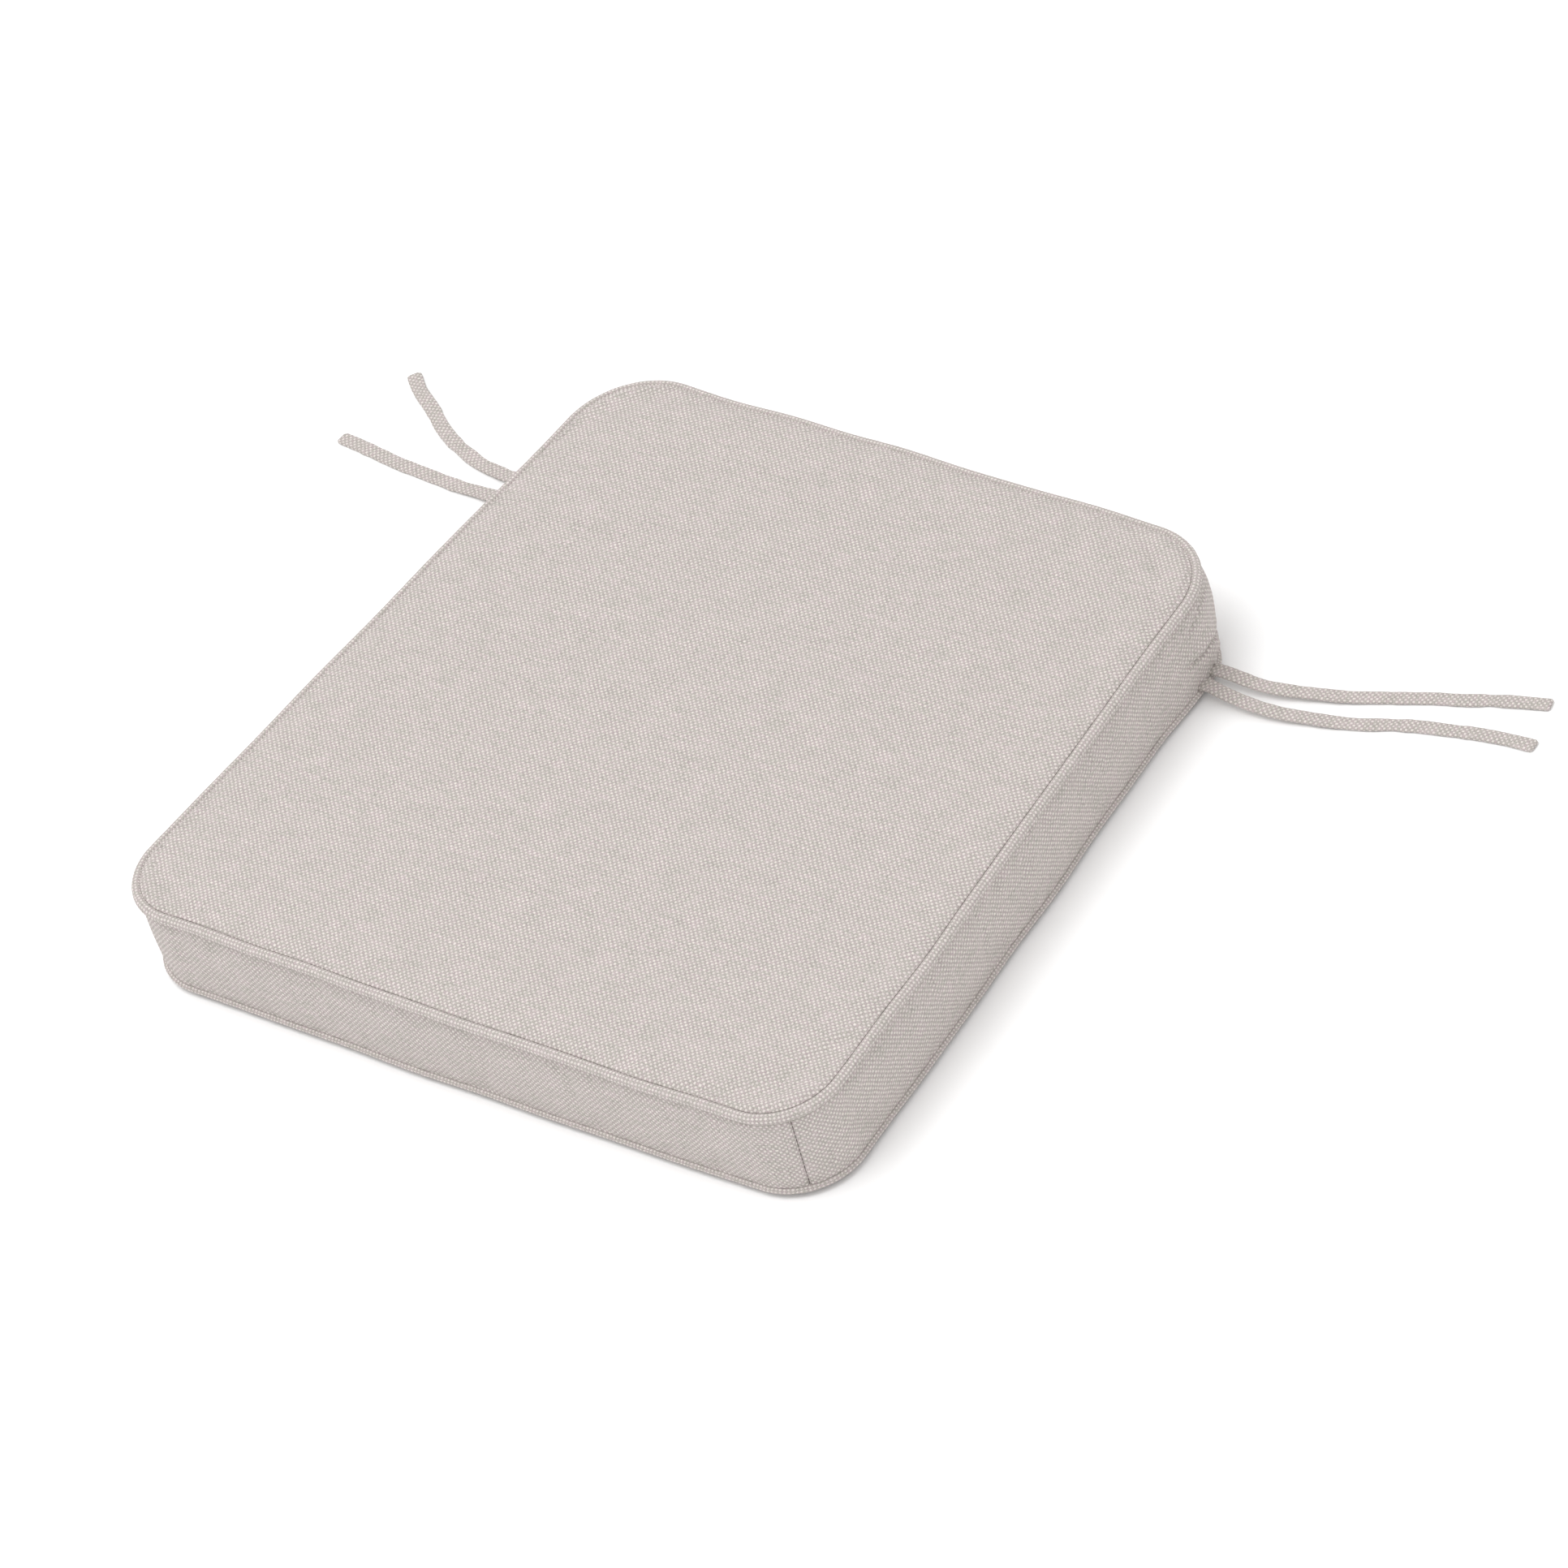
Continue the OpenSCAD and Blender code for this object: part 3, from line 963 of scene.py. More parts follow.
@dataclass(frozen=True)
class Slab:
    """A patch that fills the outline, with rings round it. Its rows run from the front to the
    back and its columns from the left to the right."""

    outline: Outline
    sides: int = 96

    @cached_property
    def ring(self) -> Array:
        """Places along the outline, a side at a time, from the middle of one corner to the
        middle of the next, starting at the back right."""
        middles = [math.degrees((c[3] + c[4]) / 2) for c in self.outline.corners]
        ends = [self.outline.place(m) for m in middles]
        ends.append(ends[0] + self.outline.length)
        runs = [np.linspace(a, b, self.sides, endpoint=False) for a, b in zip(ends, ends[1:])]
        return np.concatenate(runs)

    def border(self, grid: Array) -> Array:
        """The border of a grid, in the order of the ring."""
        back, left, front, right = grid[-1, ::-1], grid[::-1, 0], grid[0], grid[:, -1]
        return np.concatenate([back[:-1], left[:-1], front[:-1], right[:-1]])

    def fill(self, out: float, z: float) -> Array:
        """A Coons patch: between the front and the back edge, plus between the left and the
        right edge, less between the four corners.

        Args:
            out: where its border lies beside the outline.
            z: its height.

        Returns:
            Its grid of points.
        """
        points = self.outline.at(self.ring, out, z)
        points = np.concatenate([points, points[:1]])
        back, left, front, right = (
            points[n * self.sides : (n + 1) * self.sides + 1] for n in range(4)
        )
        back, left = back[::-1], left[::-1]
        across = np.linspace(0, 1, self.sides + 1)[None, :, None]
        along = np.linspace(0, 1, self.sides + 1)[:, None, None]
        blend = (1 - along) * front[None] + along * back[None]
        blend = blend + (1 - across) * left[:, None] + across * right[:, None]
        near = (1 - across) * front[0] + across * front[-1]
        far = (1 - across) * back[0] + across * back[-1]
        return blend - (1 - along) * near - along * far

    def sheet(self, patch: Patchwork, rows: Array, turned: bool) -> tuple[Array, Array]:
        """Adds a filled patch and the rings round it.

        Args:
            patch: what it is added to.
            rows: the distance out and the height of each ring, from the patch outwards; the
                first is the patch's own border.
            turned: whether it faces down.

        Returns:
            The indices of the patch and of all the rings.
        """
        middle = patch.place(self.fill(*rows[0]))
        first = self.border(middle)[None]
        outer = patch.place(self.outline.at(self.ring, rows[1:, :1], rows[1:, 1:]))
        rings = np.concatenate([first, outer])
        points = np.concatenate(patch.points)
        patch.lay(middle, points[middle][..., :2], not turned)
        patch.lay(closed(rings), points[closed(rings)][..., :2], turned)
        return middle, rings

    def solid(self, name: str, profile: Array, finish: Finish) -> bpy.types.Object:
        """A closed solid.

        Args:
            name: the piece's name.
            profile: the distance out and the height of each ring from the top's border to the
                bottom's.
            finish: what it is made of.

        Returns:
            The piece.
        """
        patch = Patchwork()
        _, rings = self.sheet(patch, profile[:-1], False)
        lower = patch.place(self.fill(*profile[-1]))
        last = np.stack([rings[-1], self.border(lower)])
        points = np.concatenate(patch.points)
        patch.lay(lower, points[lower][..., :2])
        patch.lay(closed(last), points[closed(last)][..., :2])
        return patch.build(name, finish)


@dataclass(frozen=True)
class Filling:
    """The foam block and the wadding over and under it."""

    outline: Outline
    inset: float = 4.4 * MM
    foam_low: float = 4.0 * MM
    foam_high: float = 52.0 * MM
    wadding_low: float = 1.0 * MM
    wadding_high: float = 54.7 * MM
    gap: float = 0.1 * MM
    edge_r: float = 2.0 * MM

    def rounded(self, low: float, high: float, top_r: float, bottom_r: float) -> Array:
        """A slab's profile from the top's border to the bottom's, with quarter-round edges."""
        turn = np.linspace(0, np.pi / 2, 6)
        top = np.stack([np.sin(turn) - 1, np.cos(turn) - 1], 1) * top_r + (-self.inset, high)
        low_turn = turn[::-1]
        bottom = np.stack([np.sin(low_turn) - 1, 1 - np.cos(low_turn)], 1) * bottom_r
        return np.concatenate([top, bottom + (-self.inset, low)])

    def build(self) -> None:
        """Makes the block and the two sheets."""
        slab = Slab(self.outline, 48)
        block = self.rounded(self.foam_low, self.foam_high, self.edge_r, self.edge_r)
        foam = slab.solid("foam_block", block, FOAM)
        settle(foam, "foam_core")
        sheets = (
            ("top", self.foam_high + self.gap, self.wadding_high, 2.4 * MM, 0.1 * MM),
            ("bottom", self.wadding_low, self.foam_low - self.gap, 0.1 * MM, 2.4 * MM),
        )
        for side, low, high, top_r, bottom_r in sheets:
            profile = self.rounded(low, high, top_r, bottom_r)
            wadding = slab.solid(f"wadding_{side}_sheet", profile, WADDING)
            settle(wadding, f"wadding_{side}")


# ---- Piping ----


@dataclass(frozen=True)
class Piping:
    """A bias strip sewn round a filler cord, with its flange held inside the seam."""

    outline: Outline
    name: str
    level: float
    up: int
    squash: float = 1.0
    inset: float = 0.0
    radius: float = 2.7 * MM
    filler_r: float = 2.1 * MM
    cloth_t: float = 0.38 * MM
    flange_out: float = 1.8 * MM
    flange_in: float = 2.6 * MM
    flange_l: float = 8 * MM
    columns: int = 760
    twist: float = 11 * MM
    strands: int = 3

    def section(self) -> Array:
        """The strip's section: nearly a whole circle, whose two ends run on side by side."""
        start = -math.pi + math.acos(self.flange_out / self.radius)
        end = math.pi + math.acos(self.flange_in / self.radius)
        turn = np.linspace(start, end, 30)
        ring = np.stack([np.cos(turn), np.sin(turn)], 1) * self.radius
        flange = self.flange_l / self.squash
        down = np.linspace(ring[0, 1], -flange, 5)[1:]
        outer = np.stack([np.full(4, -self.flange_out), down], 1)[::-1]
        down = np.linspace(ring[-1, 1], -flange, 5)[1:]
        inner = np.stack([np.full(4, -self.flange_in), down], 1)
        return np.concatenate([outer, ring, inner])

    def tube(self, places: Array, out: Array, above: Array, shut: bool) -> Patchwork:
        """A section carried round the outline.

        Args:
            places: arc lengths of its columns.
            out: the section's distances out, with a row for each point of the section.
            above: the section's heights over the level.
            shut: whether the section closes on itself.

        Returns:
            The mesh so far.
        """
        patch = Patchwork()
        height = self.level + self.up * self.squash * above
        index = patch.place(self.outline.at(places, out - self.inset, height))
        middle = np.stack([out.mean(1), above.mean(1), out.mean(1) * 0], 1)
        if shut:
            index = np.concatenate([index, index[:1]])
            middle = np.concatenate([middle, middle[:1]])
        cloth = cloth_grid(np.append(places, self.outline.length), steps_along(middle))
        patch.lay(closed(index), cloth, turned=self.up > 0)
        return patch

    def build(self) -> None:
        """Makes the bias strip and its filler cord. The cord's strands are a ripple of its
        radius that winds round it."""
        length = self.outline.length
        places = np.linspace(0, length, self.columns, endpoint=False)
        out, above = (part[:, None] for part in self.section().T)
        ripple = 1 + 0.012 * waves(places, length, 90, 260, 3)[None]
        round_it = (above > -self.radius) & (out > -self.flange_in)
        level = above + 0 * places[None]
        patch = self.tube(places, np.where(round_it, out * ripple, out), level, False)
        strip = patch.build(f"piping_{self.name}_strip", BIAS_CANVAS)
        settle(strip, f"{self.name}_piping_cover", self.cloth_t)
        turn = np.linspace(0, 2 * np.pi, 18, endpoint=False)[:, None]
        turns = round(length / self.twist)
        wind = turn * self.strands - places[None] * (2 * np.pi * turns / length)
        radius = self.filler_r * (0.9 + 0.1 * np.abs(np.cos(wind / 2)))
        patch = self.tube(places, radius * np.cos(turn), radius * np.sin(turn), True)
        cord = patch.build(f"piping_{self.name}_cord", FILLER)
        settle(cord, f"{self.name}_piping_cord")


# ---- The cover ----


PANEL_TURN = (11.0, 9.0, 7.2, 5.7, 4.4, 3.4, 2.6, 1.9, 1.4, 1.0, 0.7, 0.45, 0.2, 0.0)
"""How far inside its seam each ring of a panel lies, in millimetres."""
PANEL_RIM = (0.09, 0.2, 0.3, 0.6, 1.0)
"""Where the rings of a panel's rim lie, as parts of the rim."""
SEAM_ROW = len(PANEL_TURN) - 1
HELD_ROWS = 6
"""How many rings inside the seam the cloth simulation holds."""
CLOTH_FRAMES = 20
CLOTH = {
    "vertex_group_mass": "held",
    "quality": 5,
    "mass": 0.25,
    "tension_stiffness": 25,
    "compression_stiffness": 25,
    "shear_stiffness": 12,
    "bending_stiffness": 0.6,
    "shrink_min": -0.012,
    "use_pressure": True,
    "uniform_pressure_force": 4.0,
}
BULGE = (5, 9, 12, 16, 20, 30, 39, 44, 47, 50.6), (0, 0.4, 1.5, 2.3, 2.7, 3.2, 3.1, 2.6, 1.8, 0)
"""Heights at the loose corner and how far out its bulge stands there, in millimetres."""
CREASE_LINE = (-25, -17, 0, 9, 20, 30, 36, 60), (26, 24.5, 21, 21, 16, 12, 9, 8)
"""Places round the loose corner and the crease's height there, in millimetres."""
DIMPLE_LINE = (-8, 0, 7, 13, 26), (37.5, 40, 42.5, 44.5, 42)
"""Places round the loose corner and the dimple's height there, in millimetres."""


@dataclass
class Cover:
    """The panels, the boxing strips and the zip strips, swelled by the filling."""

    outline: Outline
    slab: Slab
    cloth_t: float = 0.8 * MM
    seam_out: float = -1.95 * MM
    seam_drop: float = 0.65 * MM
    under_drop: float = 2.5 * MM
    under_inset: float = 0.9 * MM
    flange_out: float = -2.85 * MM
    rim_l: float = 8 * MM
    panel_rise: float = 1.2 * MM
    crown: float = 0.5 * MM
    wall_seam_out: float = -1.5 * MM
    wall_seam_z: float = 5.2 * MM
    wall_foot_out: float = 0.1 * MM
    wall_foot_z: float = 5.5 * MM
    wall_out: float = -0.1 * MM
    belly: float = 0.5 * MM
    wall_rows: int = 56
    column_step: float = 1.4 * MM
    front_seam_top: float = 314.8
    front_seam_bottom: float = 310.7
    lap_heading: float = 62.0
    zip_heading: float = 118.0
    window: float = 8 * MM
    fold_l: float = 9.5 * MM
    fold_r: float = 0.82 * MM
    stitch_edge: float = 2 * MM
    swell_rows: int = 14
    swell_cap: float = 1.1 * MM
    swell: Array = field(default_factory=lambda: np.zeros((0, 0, 3)))
    panel_swell: dict[str, Array] = field(default_factory=dict)

    @property
    def middle_z(self) -> float:
        """Half the pad's height."""
        return self.outline.thick / 2

    @property
    def wall_head_z(self) -> float:
        """The height of the boxing's upper seam."""
        return self.outline.thick - self.wall_seam_z

    def panel_rows(self, top: bool) -> Array:
        """The rings of a panel, from its border with the flat patch to the end of its rim.
        The cloth turns down round the piping, and its rim runs on beside the flange.

        Args:
            top: whether it is the top panel.

        Returns:
            The distance out and the height of each ring.
        """
        inside = np.array(PANEL_TURN) * MM
        rise = self.rise(inside, top)
        rim = np.array(PANEL_RIM) * self.rim_l
        hug = self.flange_out - self.seam_out
        turned = hug * (1 - np.exp(-rim / (0.8 * MM)))
        out = np.concatenate([-inside, turned]) + self.seam_out
        height = np.concatenate([rise, -rim])
        if top:
            return np.stack([out, self.outline.thick - self.seam_drop + height], 1)
        return np.stack([out - self.under_inset, self.under_drop - height], 1)

    def rise(self, inside: Array, top: bool) -> Array:
        """How far a panel rises from its seam at a distance inside it: one exponential for the
        turn at the seam, which is slower underneath, and on the top a second for the crown."""
        if not top:
            return (self.under_drop - 0.3 * MM) * (1 - np.exp(-inside / (2.4 * MM)))
        lift = self.seam_drop * (1 - np.exp(-inside / (0.5 * MM)))
        return lift + self.panel_rise * (1 - np.exp(-inside / (5 * MM)))

    def wall_profile(self, z: Array) -> Array:
        """How far out the boxing lies at a height. It is drawn in well under the top piping
        and a little over the bottom one, and swells between them."""
        below = np.maximum(self.wall_head_z - z, 0)
        above = np.maximum(z - self.wall_foot_z, 0)
        drawn = (self.wall_out - self.wall_seam_out) * np.exp(-below / (1.6 * MM))
        drawn = drawn + (self.wall_out - self.wall_foot_out) * np.exp(-above / (0.7 * MM))
        part = np.clip(above / (self.wall_head_z - self.wall_foot_z), 0, 1)
        return self.wall_out - drawn + self.belly * np.sin(np.pi * part)

    def wall_levels(self, count: int, low: float, high: float) -> Array:
        """Heights from high to low, closer together at both ends."""
        part = np.linspace(0, 1, count)
        return high - (high - low) * (part - 0.55 * np.sin(2 * np.pi * part) / (2 * np.pi))

    def panel_points(self, patch: Patchwork, top: bool) -> tuple[Array, Array]:
        """Adds a panel with its soft crown to a mesh, and returns its index grids."""
        rows = self.panel_rows(top)
        middle, rings = self.slab.sheet(patch, rows, not top)
        points = np.concatenate(patch.points)
        if top:
            inside = points[middle.ravel()]
            x, y = inside[:, 0] / (self.outline.front_w / 2), inside[:, 1] / (self.outline.depth / 2)
            dome = ramp((1 - x**2) * (1 - y**2), 0.05, 1)
            points[middle.ravel(), 2] += self.crown * dome
        patch.points = [points]
        return middle, rings

    def inflate(self) -> None:
        """Swells the closed skin with air: the panels and the boxing as one cloth, held along
        its seams, under pressure and without gravity. How far a point moves is capped by a
        hyperbolic tangent, and the moves are kept for the pieces."""
        patch = Patchwork()
        grids = {True: self.panel_points(patch, True), False: self.panel_points(patch, False)}
        levels = self.wall_levels(self.swell_rows, self.wall_foot_z, self.wall_head_z)[:, None]
        wall = patch.place(self.outline.at(self.slab.ring, self.wall_profile(levels), levels))
        held = [wall[0], wall[-1]]
        flat = cloth_grid(np.append(self.slab.ring, self.outline.length), levels[:, 0])
        patch.lay(closed(wall), flat)
        for top, edge in ((True, wall[0]), (False, wall[-1])):
            seam = grids[top][1][SEAM_ROW]
            strip = closed(np.stack([seam, edge]))
            patch.lay(strip, flat[:2], turned=not top)
            held.append(grids[top][1][SEAM_ROW - HELD_ROWS :].ravel())
        piece = patch.build("air_test")
        count = len(piece.data.vertices)
        before = np.concatenate(patch.points)
        start = before + np.random.default_rng(17).normal(0, 0.04 * MM, before.shape)
        fixed = np.unique(np.concatenate([h.ravel() for h in held]))
        start[fixed] = before[fixed]
        piece.data.vertices.foreach_set("co", start.astype(np.float32).ravel())
        group = piece.vertex_groups.new(name="held")
        group.add(fixed.tolist(), 1.0, "REPLACE")
        cloth = piece.modifiers.new("air", "CLOTH")
        for name, setting in CLOTH.items():
            setattr(cloth.settings, name, setting)
        cloth.settings.effector_weights.gravity = 0
        cloth.point_cache.frame_start, cloth.point_cache.frame_end = 1, CLOTH_FRAMES
        scene = bpy.context.scene
        for number in range(1, CLOTH_FRAMES + 1):
            scene.frame_set(number)
        after = np.empty(count * 3, np.float32)
        shown = piece.evaluated_get(bpy.context.evaluated_depsgraph_get())
        shown.data.vertices.foreach_get("co", after)
        moves = after.reshape(-1, 3) - before
        moves[fixed] = 0
        far = np.maximum(np.linalg.norm(moves, axis=1), 1e-9)[:, None]
        log.info("cloth moved %.2f mm at most before the cap", far.max() / MM)
        moves = moves / far * np.tanh(far / self.swell_cap) * self.swell_cap
        self.swell = moves[wall]
        for top, name in ((True, "top"), (False, "bottom")):
            middle, rings = grids[top]
            self.panel_swell[name] = moves[np.unique(np.concatenate([middle.ravel(), rings.ravel()]))]
        scene.frame_set(1)
        bpy.data.objects.remove(piece)

    def swell_at(self, place: Array, z: Array) -> Array:
        """The boxing's moves at places and heights, between those of the swelled skin.

        Args:
            place: arc lengths along the outline.
            z: heights, with a row for each height.

        Returns:
            The moves, with x, y and z last.
        """
        if not self.swell.size:
            return np.zeros(np.broadcast(place, z).shape + (3,))
        levels = self.wall_levels(self.swell_rows, self.wall_foot_z, self.wall_head_z)
        place, z = np.broadcast_arrays(place, z)
        ring = self.slab.ring
        there = (place - ring[0]) % self.outline.length + ring[0]
        whole = np.append(ring, ring[0] + self.outline.length)
        column = np.interp(there, whole, np.arange(len(whole)))
        row = np.interp(-z, -levels, np.arange(len(levels)))
        left = np.floor(column).astype(int)
        upper = np.minimum(np.floor(row), len(levels) - 2).astype(int)
        across, down = (column - left)[..., None], (row - upper)[..., None]
        left, right = left % len(ring), (left + 1) % len(ring)
        above = self.swell[upper, left] * (1 - across) + self.swell[upper, right] * across
        below = self.swell[upper + 1, left] * (1 - across) + self.swell[upper + 1, right] * across
        return above * (1 - down) + below * down

    def columns(self, start: float, end: float) -> Array:
        """Places between two seams, close together beside each of them."""
        near = np.array([0.0, 0.25, 0.5, 0.85, 1.3, 1.9]) * MM
        count = max(2, round((end - start - 2 * 2.8 * MM) / self.column_step))
        middle = np.linspace(start + 2.8 * MM, end - 2.8 * MM, count)
        return np.concatenate([start + near, middle, end - near[::-1]])

    def seam_shift(self, place: Array, z: Array) -> Array:
        """How far the columns beside the front corner's seam shift along, because that seam
        leans: most at the seam, dying away as a bell curve."""
        top = self.outline.place(self.front_seam_top)
        bottom = self.outline.place(self.front_seam_bottom)
        middle = (top + bottom) / 2
        lean = (z / self.outline.thick - 0.5) * (top - bottom)
        return lean * bell(place, middle, 14 * MM)

    def corner_fold(self, place: Array, z: Array) -> Array:
        """How far out the loose cloth at the back right corner stands: a bulge under the top
        piping, a dimple above it, a crease that slants down round the corner, and a pouch
        below the crease."""
        near = (place + self.outline.length / 2) % self.outline.length - self.outline.length / 2
        near, height = near / MM, z / MM
        bulge = np.interp(height, *BULGE)
        bulge = bulge * np.exp(-(((near - 36) / 22) ** 2))
        crease_z = np.interp(near, *CREASE_LINE)
        along = ramp(near, -22, 2) * (1 - ramp(near, 56, 72))
        crease = 3.4 * bell(height, crease_z, 1.3) * along
        ridge = 2.0 * bell(height, crease_z + 4.5, 3.0) * ramp(near, -20, -2) * (1 - ramp(near, 8, 26))
        pouch = 1.8 * bell(height, crease_z - 5.5, 4.2) * ramp(near, -2, 22)
        pouch = pouch * (1 - ramp(near, 48, 66)) + ridge
        dimple_z = np.interp(near, *DIMPLE_LINE)
        dimple = 1.9 * bell(height, dimple_z, 1.5) * ramp(near, -12, 0) * (1 - ramp(near, 20, 32))
        return (bulge - crease + pouch - dimple) * MM

    def wall(
        self, name: str, node: str, start: float, end: float, levels: Array, extra: Array
    ) -> bpy.types.Object:
        """A strip of the boxing.

        Args:
            name: the piece's name.
            node: the CAD node that it stands for.
            start: the place of its first seam.
            end: the place of its last seam.
            levels: its rows' heights, from the top.
            extra: how far out of the boxing's face each row lies.

        Returns:
            The piece.
        """
        places = self.columns(start, end)[None]
        z = levels[:, None]
        seam = np.minimum(np.abs(places - start), np.abs(places - end))
        drawn = 0.95 * MM * np.exp(-seam / (0.45 * MM)) + 0.35 * MM * np.exp(-seam / (3 * MM))
        out = self.wall_profile(z) - drawn + extra[:, None] + self.corner_fold(places, z)
        pucker = waves(places, self.outline.length, 110, 240, 8) * 0.10 * MM
        seam_side = np.minimum(z - self.wall_foot_z, self.wall_head_z - z)
        out = out + pucker * bell(seam_side, 2.5 * MM, 3.5 * MM)
        shifted = places + self.seam_shift(places, z)
        closed_z = self.zipped(places, z) if node.startswith("zip") else z
        points = self.outline.at(shifted, out, closed_z)
        points = points + self.swell_at(shifted, z) * self.loose(z, node)
        patch = Patchwork()
        run = steps_along(np.stack([extra, levels, levels * 0], 1))
        patch.lay(patch.place(points), cloth_grid(places[0], run))
        piece = settle(patch.build(name, STRIP_CANVAS), node, self.cloth_t)
        return piece

    def zipped(self, places: Array, z: Array) -> Array:
        """The heights of a zip strip's rows. The folds stand apart along the zip and meet past
        its ends, and the rows beside them follow less and less."""
        low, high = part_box("zip_end_stops")
        x = self.outline.at(places, 0, 0)[..., 0]
        past = ramp(x, high.x + 1 * MM, high.x + 8 * MM) + ramp(-x, 1 * MM - low.x, 8 * MM - low.x)
        away = z - self.middle_z
        near = 1 - ramp(np.abs(away), self.window / 2 + 1.5 * MM, self.window / 2 + 10 * MM)
        return z - np.sign(away) * (self.window / 2 - 0.05 * MM) * past * near

    def loose(self, z: Array, node: str) -> Array:
        """How much of the swelling a strip takes: all of it, less beside the zip's window."""
        if not node.startswith("zip"):
            return np.ones(z.shape + (1,))
        return ramp(np.abs(z - self.middle_z), 4 * MM, 12 * MM)[..., None]

    def zip_rows(self, side: int) -> tuple[Array, Array]:
        """The rows of a zip strip, from its outer seam to the end of its fold: down the face,
        half round the fold and back up inside.

        Args:
            side: 1 for the strip above the zip and -1 for the one below.

        Returns:
            The rows' heights, and how far out of the boxing's face they lie.
        """
        edge = self.window / 2 + self.fold_r
        seam = self.wall_head_z if side > 0 else self.wall_foot_z
        face = self.wall_levels(20, edge, abs(seam - self.middle_z))
        turn = np.linspace(0, np.pi, 9)[1:-1]
        round_z = edge - self.fold_r * np.sin(turn)
        round_out = self.fold_r * (np.cos(turn) - 1)
        back = np.linspace(edge, edge + self.fold_l - self.fold_r, 6)
        height = np.concatenate([face, round_z, back])
        out = np.concatenate([face * 0, round_out, back * 0 - 2 * self.fold_r])
        stitched = self.window / 2 + self.stitch_edge
        out = out - 0.22 * MM * bell(height, stitched, 0.7 * MM) * (out == 0)
        return self.middle_z + side * height, out

    def panels(self) -> None:
        """Makes the two panels from the flat patch, its rings and the swelling."""
        for top, side in ((True, "top"), (False, "bottom")):
            patch = Patchwork()
            middle, rings = self.panel_points(patch, top)
            points = np.concatenate(patch.points)
            if side in self.panel_swell:
                points = points + self.panel_swell[side]
            if top:
                gather = waves(self.slab.ring, self.outline.length, 90, 200, 22) * 0.10 * MM
                out = self.panel_rows(top)[:SEAM_ROW, :1]
                points[rings[:SEAM_ROW], 2] += gather * bell(out, self.seam_out - 3 * MM, 3 * MM)
            else:
                points[:, 2] = np.maximum(points[:, 2], 0.15 * MM)
            patch.points = [points]
            piece = patch.build(f"{side}_panel_canvas", PANEL_CANVAS)
            settle(piece, f"{side}_panel", self.cloth_t)

    def build(self) -> None:
        """Makes every piece of the cover."""
        self.inflate()
        self.panels()
        line = self.outline
        top, bottom = line.place(self.front_seam_top), line.place(self.front_seam_bottom)
        corner, lap = (top + bottom) / 2, line.place(self.lap_heading)
        zip_end = line.place(self.zip_heading)
        levels = self.wall_levels(self.wall_rows, self.wall_foot_z, self.wall_head_z)
        flat = np.zeros(len(levels))
        self.wall("boxing_front_canvas", "front_boxing", zip_end, corner, levels, flat)
        end = line.length + lap
        self.wall("boxing_right_canvas", "right_boxing", corner, end, levels, flat)
        for side, name in ((1, "upper"), (-1, "lower")):
            node = f"zip_strip_{name}"
            heights, out = (rows[::side] for rows in self.zip_rows(side))
            self.wall(f"{node}_canvas", node, lap, zip_end, heights, out)


# ---- The zip ----


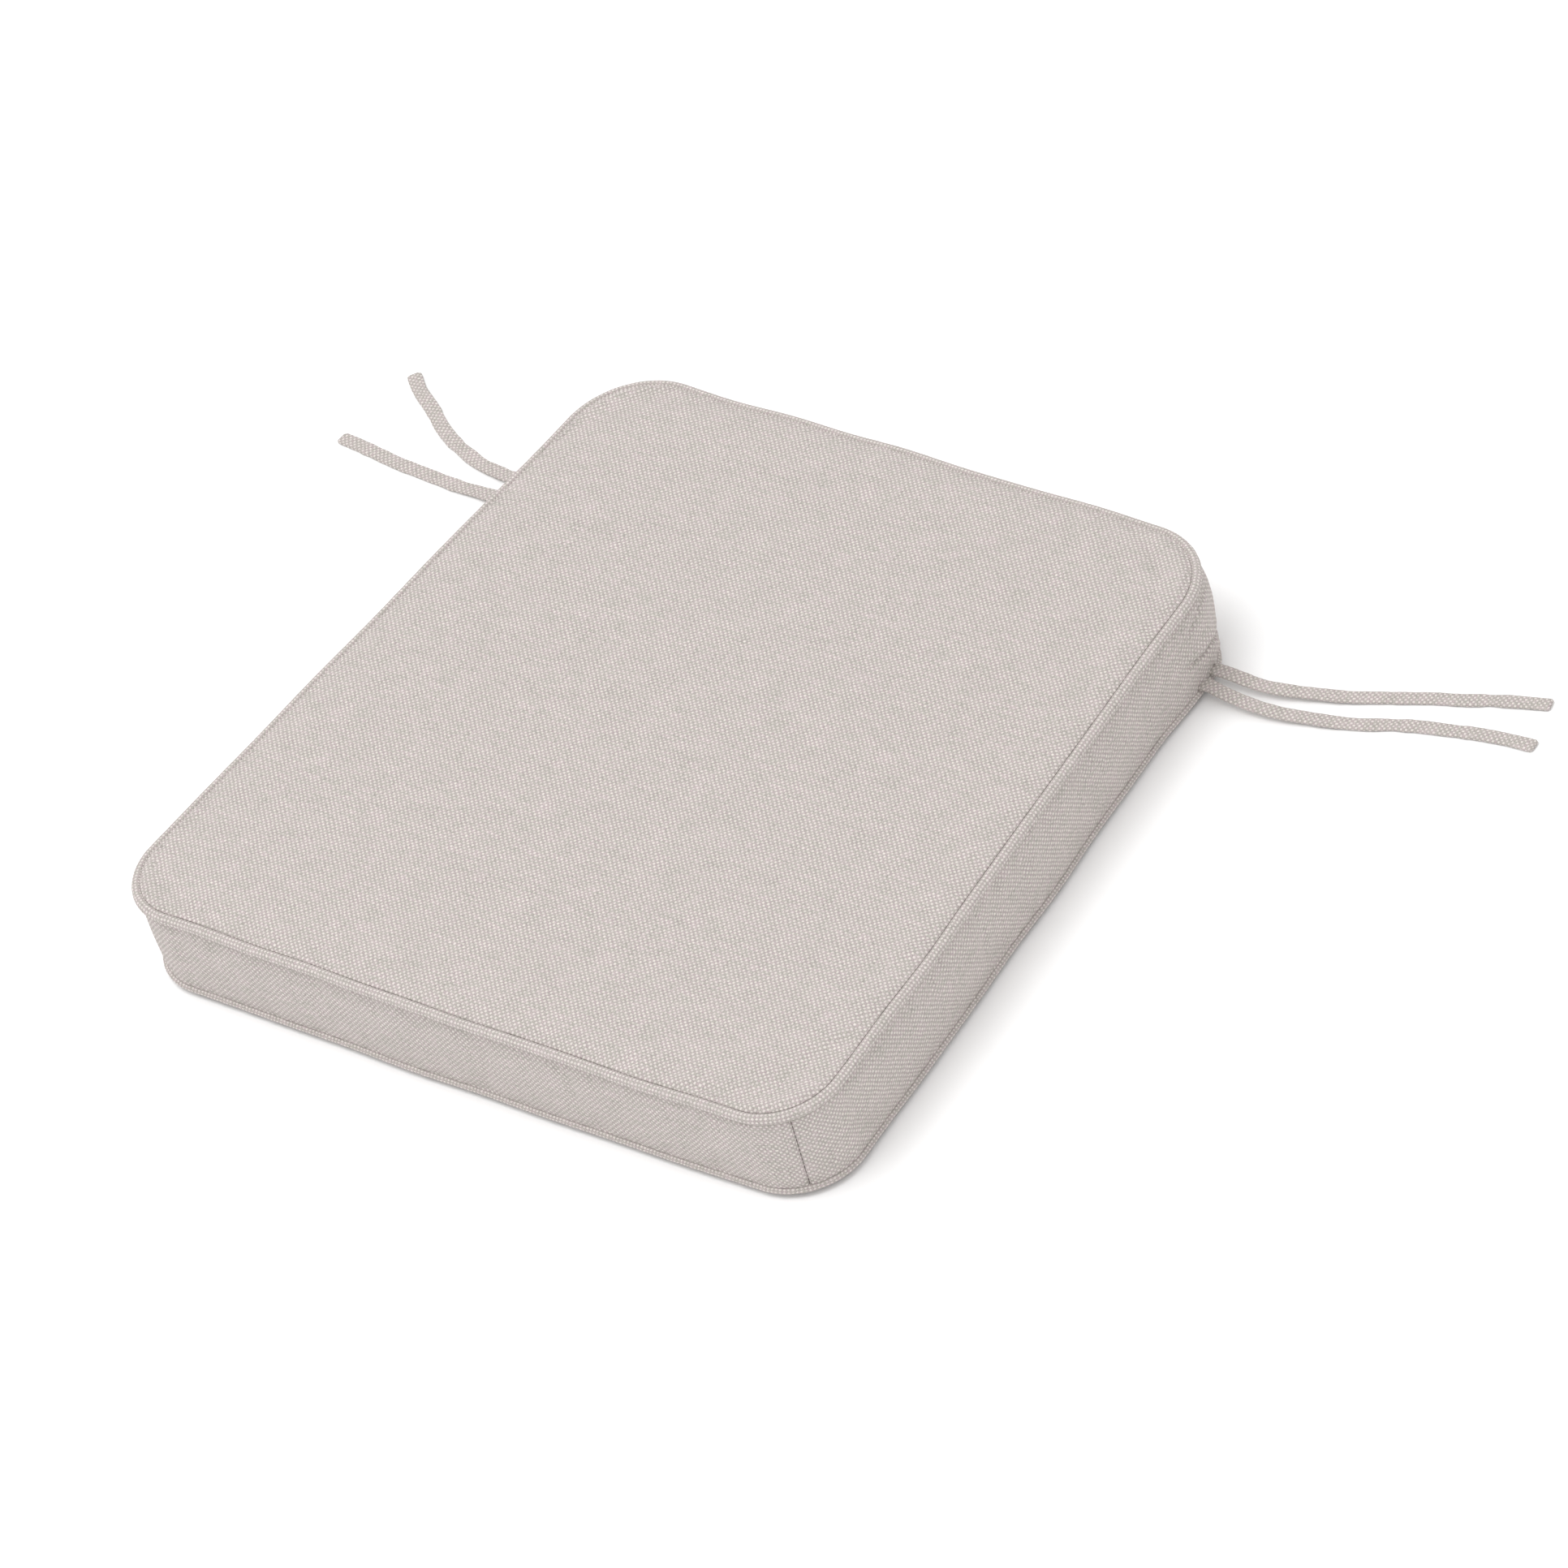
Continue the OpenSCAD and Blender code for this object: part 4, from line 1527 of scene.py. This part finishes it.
@dataclass(frozen=True)
class Zip:
    """The coil zip in the back: tapes, coils, stops, topstitching, slider and pull."""

    outline: Outline
    window: float = 8 * MM
    coil_pitch: float = 1.4 * MM
    coil_r: float = 0.27 * MM
    coil_half_w: float = 1.0 * MM
    coil_half_h: float = 0.42 * MM
    coil_out: float = -1.1 * MM
    stitch_pitch: float = 3.4 * MM
    stitch_l: float = 2.5 * MM
    stitch_r: float = 0.2 * MM
    stitch_edge: float = 2 * MM

    @cached_property
    def span(self) -> tuple[float, float]:
        """The first and the last x of the coils."""
        low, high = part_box("zip_teeth_upper")
        return low.x, high.x

    @cached_property
    def back_y(self) -> float:
        """The y of the straight back run."""
        return self.outline.depth / 2

    def coil(self, name: str, node: str, side: int) -> None:
        """One coil: a thin rod wound as a flattened helix, its section turning with it."""
        first, last = self.span
        turns = (last - first - 2 * self.coil_r) / self.coil_pitch
        turn = np.linspace(0, turns * 2 * np.pi, round(turns * 12))
        phase = turn + (0 if side > 0 else np.pi)
        x = first + self.coil_r + turn / (2 * np.pi) * self.coil_pitch
        z = self.outline.thick / 2 + side * (self.coil_half_w * (1 + np.cos(phase)) + 0.05 * MM)
        y = self.back_y + self.coil_out + self.coil_half_h * np.sin(phase)
        path = np.stack([x, y, z], 1)
        across, other = square_to(path, (-1.0, 0.0, 0.0))
        section = np.arange(6) * np.pi / 3
        rings = path[:, None] + self.coil_r * (
            np.cos(section)[None, :, None] * across[:, None]
            + np.sin(section)[None, :, None] * other[:, None]
        )
        patch = Patchwork()
        patch.rod(rings, cloth_grid(np.arange(7) * self.coil_r, steps_along(path)))
        settle(patch.build(name, NYLON), node)

    def stitching(self) -> None:
        """Topstitching along both folded edges: short rods with round ends, one to a stitch."""
        first, last = self.span
        count = int((last - first) // self.stitch_pitch)
        starts = first + (np.arange(count) + 0.15) * self.stitch_pitch
        part = np.linspace(0, 1, 7)
        fat = np.sqrt(np.maximum(1 - (2 * part - 1) ** 6, 0.02))
        sag = -0.25 * MM * (2 * part - 1) ** 4
        turn = np.arange(8) * np.pi / 4
        patch = Patchwork()
        for side in (1, -1):
            z = self.outline.thick / 2 + side * (self.window / 2 + self.stitch_edge)
            for start in starts:
                x = start + part[:, None] * self.stitch_l + 0 * turn
                y = sag[:, None] + self.stitch_r * fat[:, None] * np.cos(turn) + self.back_y
                up = self.stitch_r * fat[:, None] * np.sin(turn)
                cloth = cloth_grid(np.arange(9) * 0.15 * MM, part * self.stitch_l)
                patch.rod(np.stack([x, y, z + up], -1), cloth, turned=False)
        settle(patch.build("zip_topstitching", THREAD), "zip_stitching")

    def build(self) -> None:
        """Makes the coils and the topstitching, and dresses the CAD pieces that stay."""
        self.coil("zip_coil_upper", "zip_teeth_upper", 1)
        self.coil("zip_coil_lower", "zip_teeth_lower", -1)
        self.stitching()
        finishes = {
            "zip_tape_upper": ZIP_TAPE,
            "zip_tape_lower": ZIP_TAPE,
            "zip_end_stops": NICKEL,
            "zip_slider": NICKEL,
            "zip_pull": NICKEL,
        }
        for node, finish in finishes.items():
            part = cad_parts[node]
            part.data.materials.clear()
            part.data.materials.append(finish.material())
            log.info("%s: CAD piece in %s", node, finish.name)


# ---- The whole pad ----


def main() -> None:
    """Makes the studio and the pad: ties first, then cover, piping, filling and zip."""
    logging.basicConfig(level=logging.INFO, format="%(message)s")
    outline = Outline()
    Studio().build()
    for tie in TIES:
        tie.build(outline)
    Filling(outline).build()
    Cover(outline, Slab(outline)).build()
    Piping(outline, "top", outline.thick - 2.7 * MM, 1).build()
    Piping(outline, "bottom", 3.75 * MM, -1, squash=0.63, inset=0.7 * MM).build()
    Zip(outline).build()


if __name__ == "__main__":
    main()
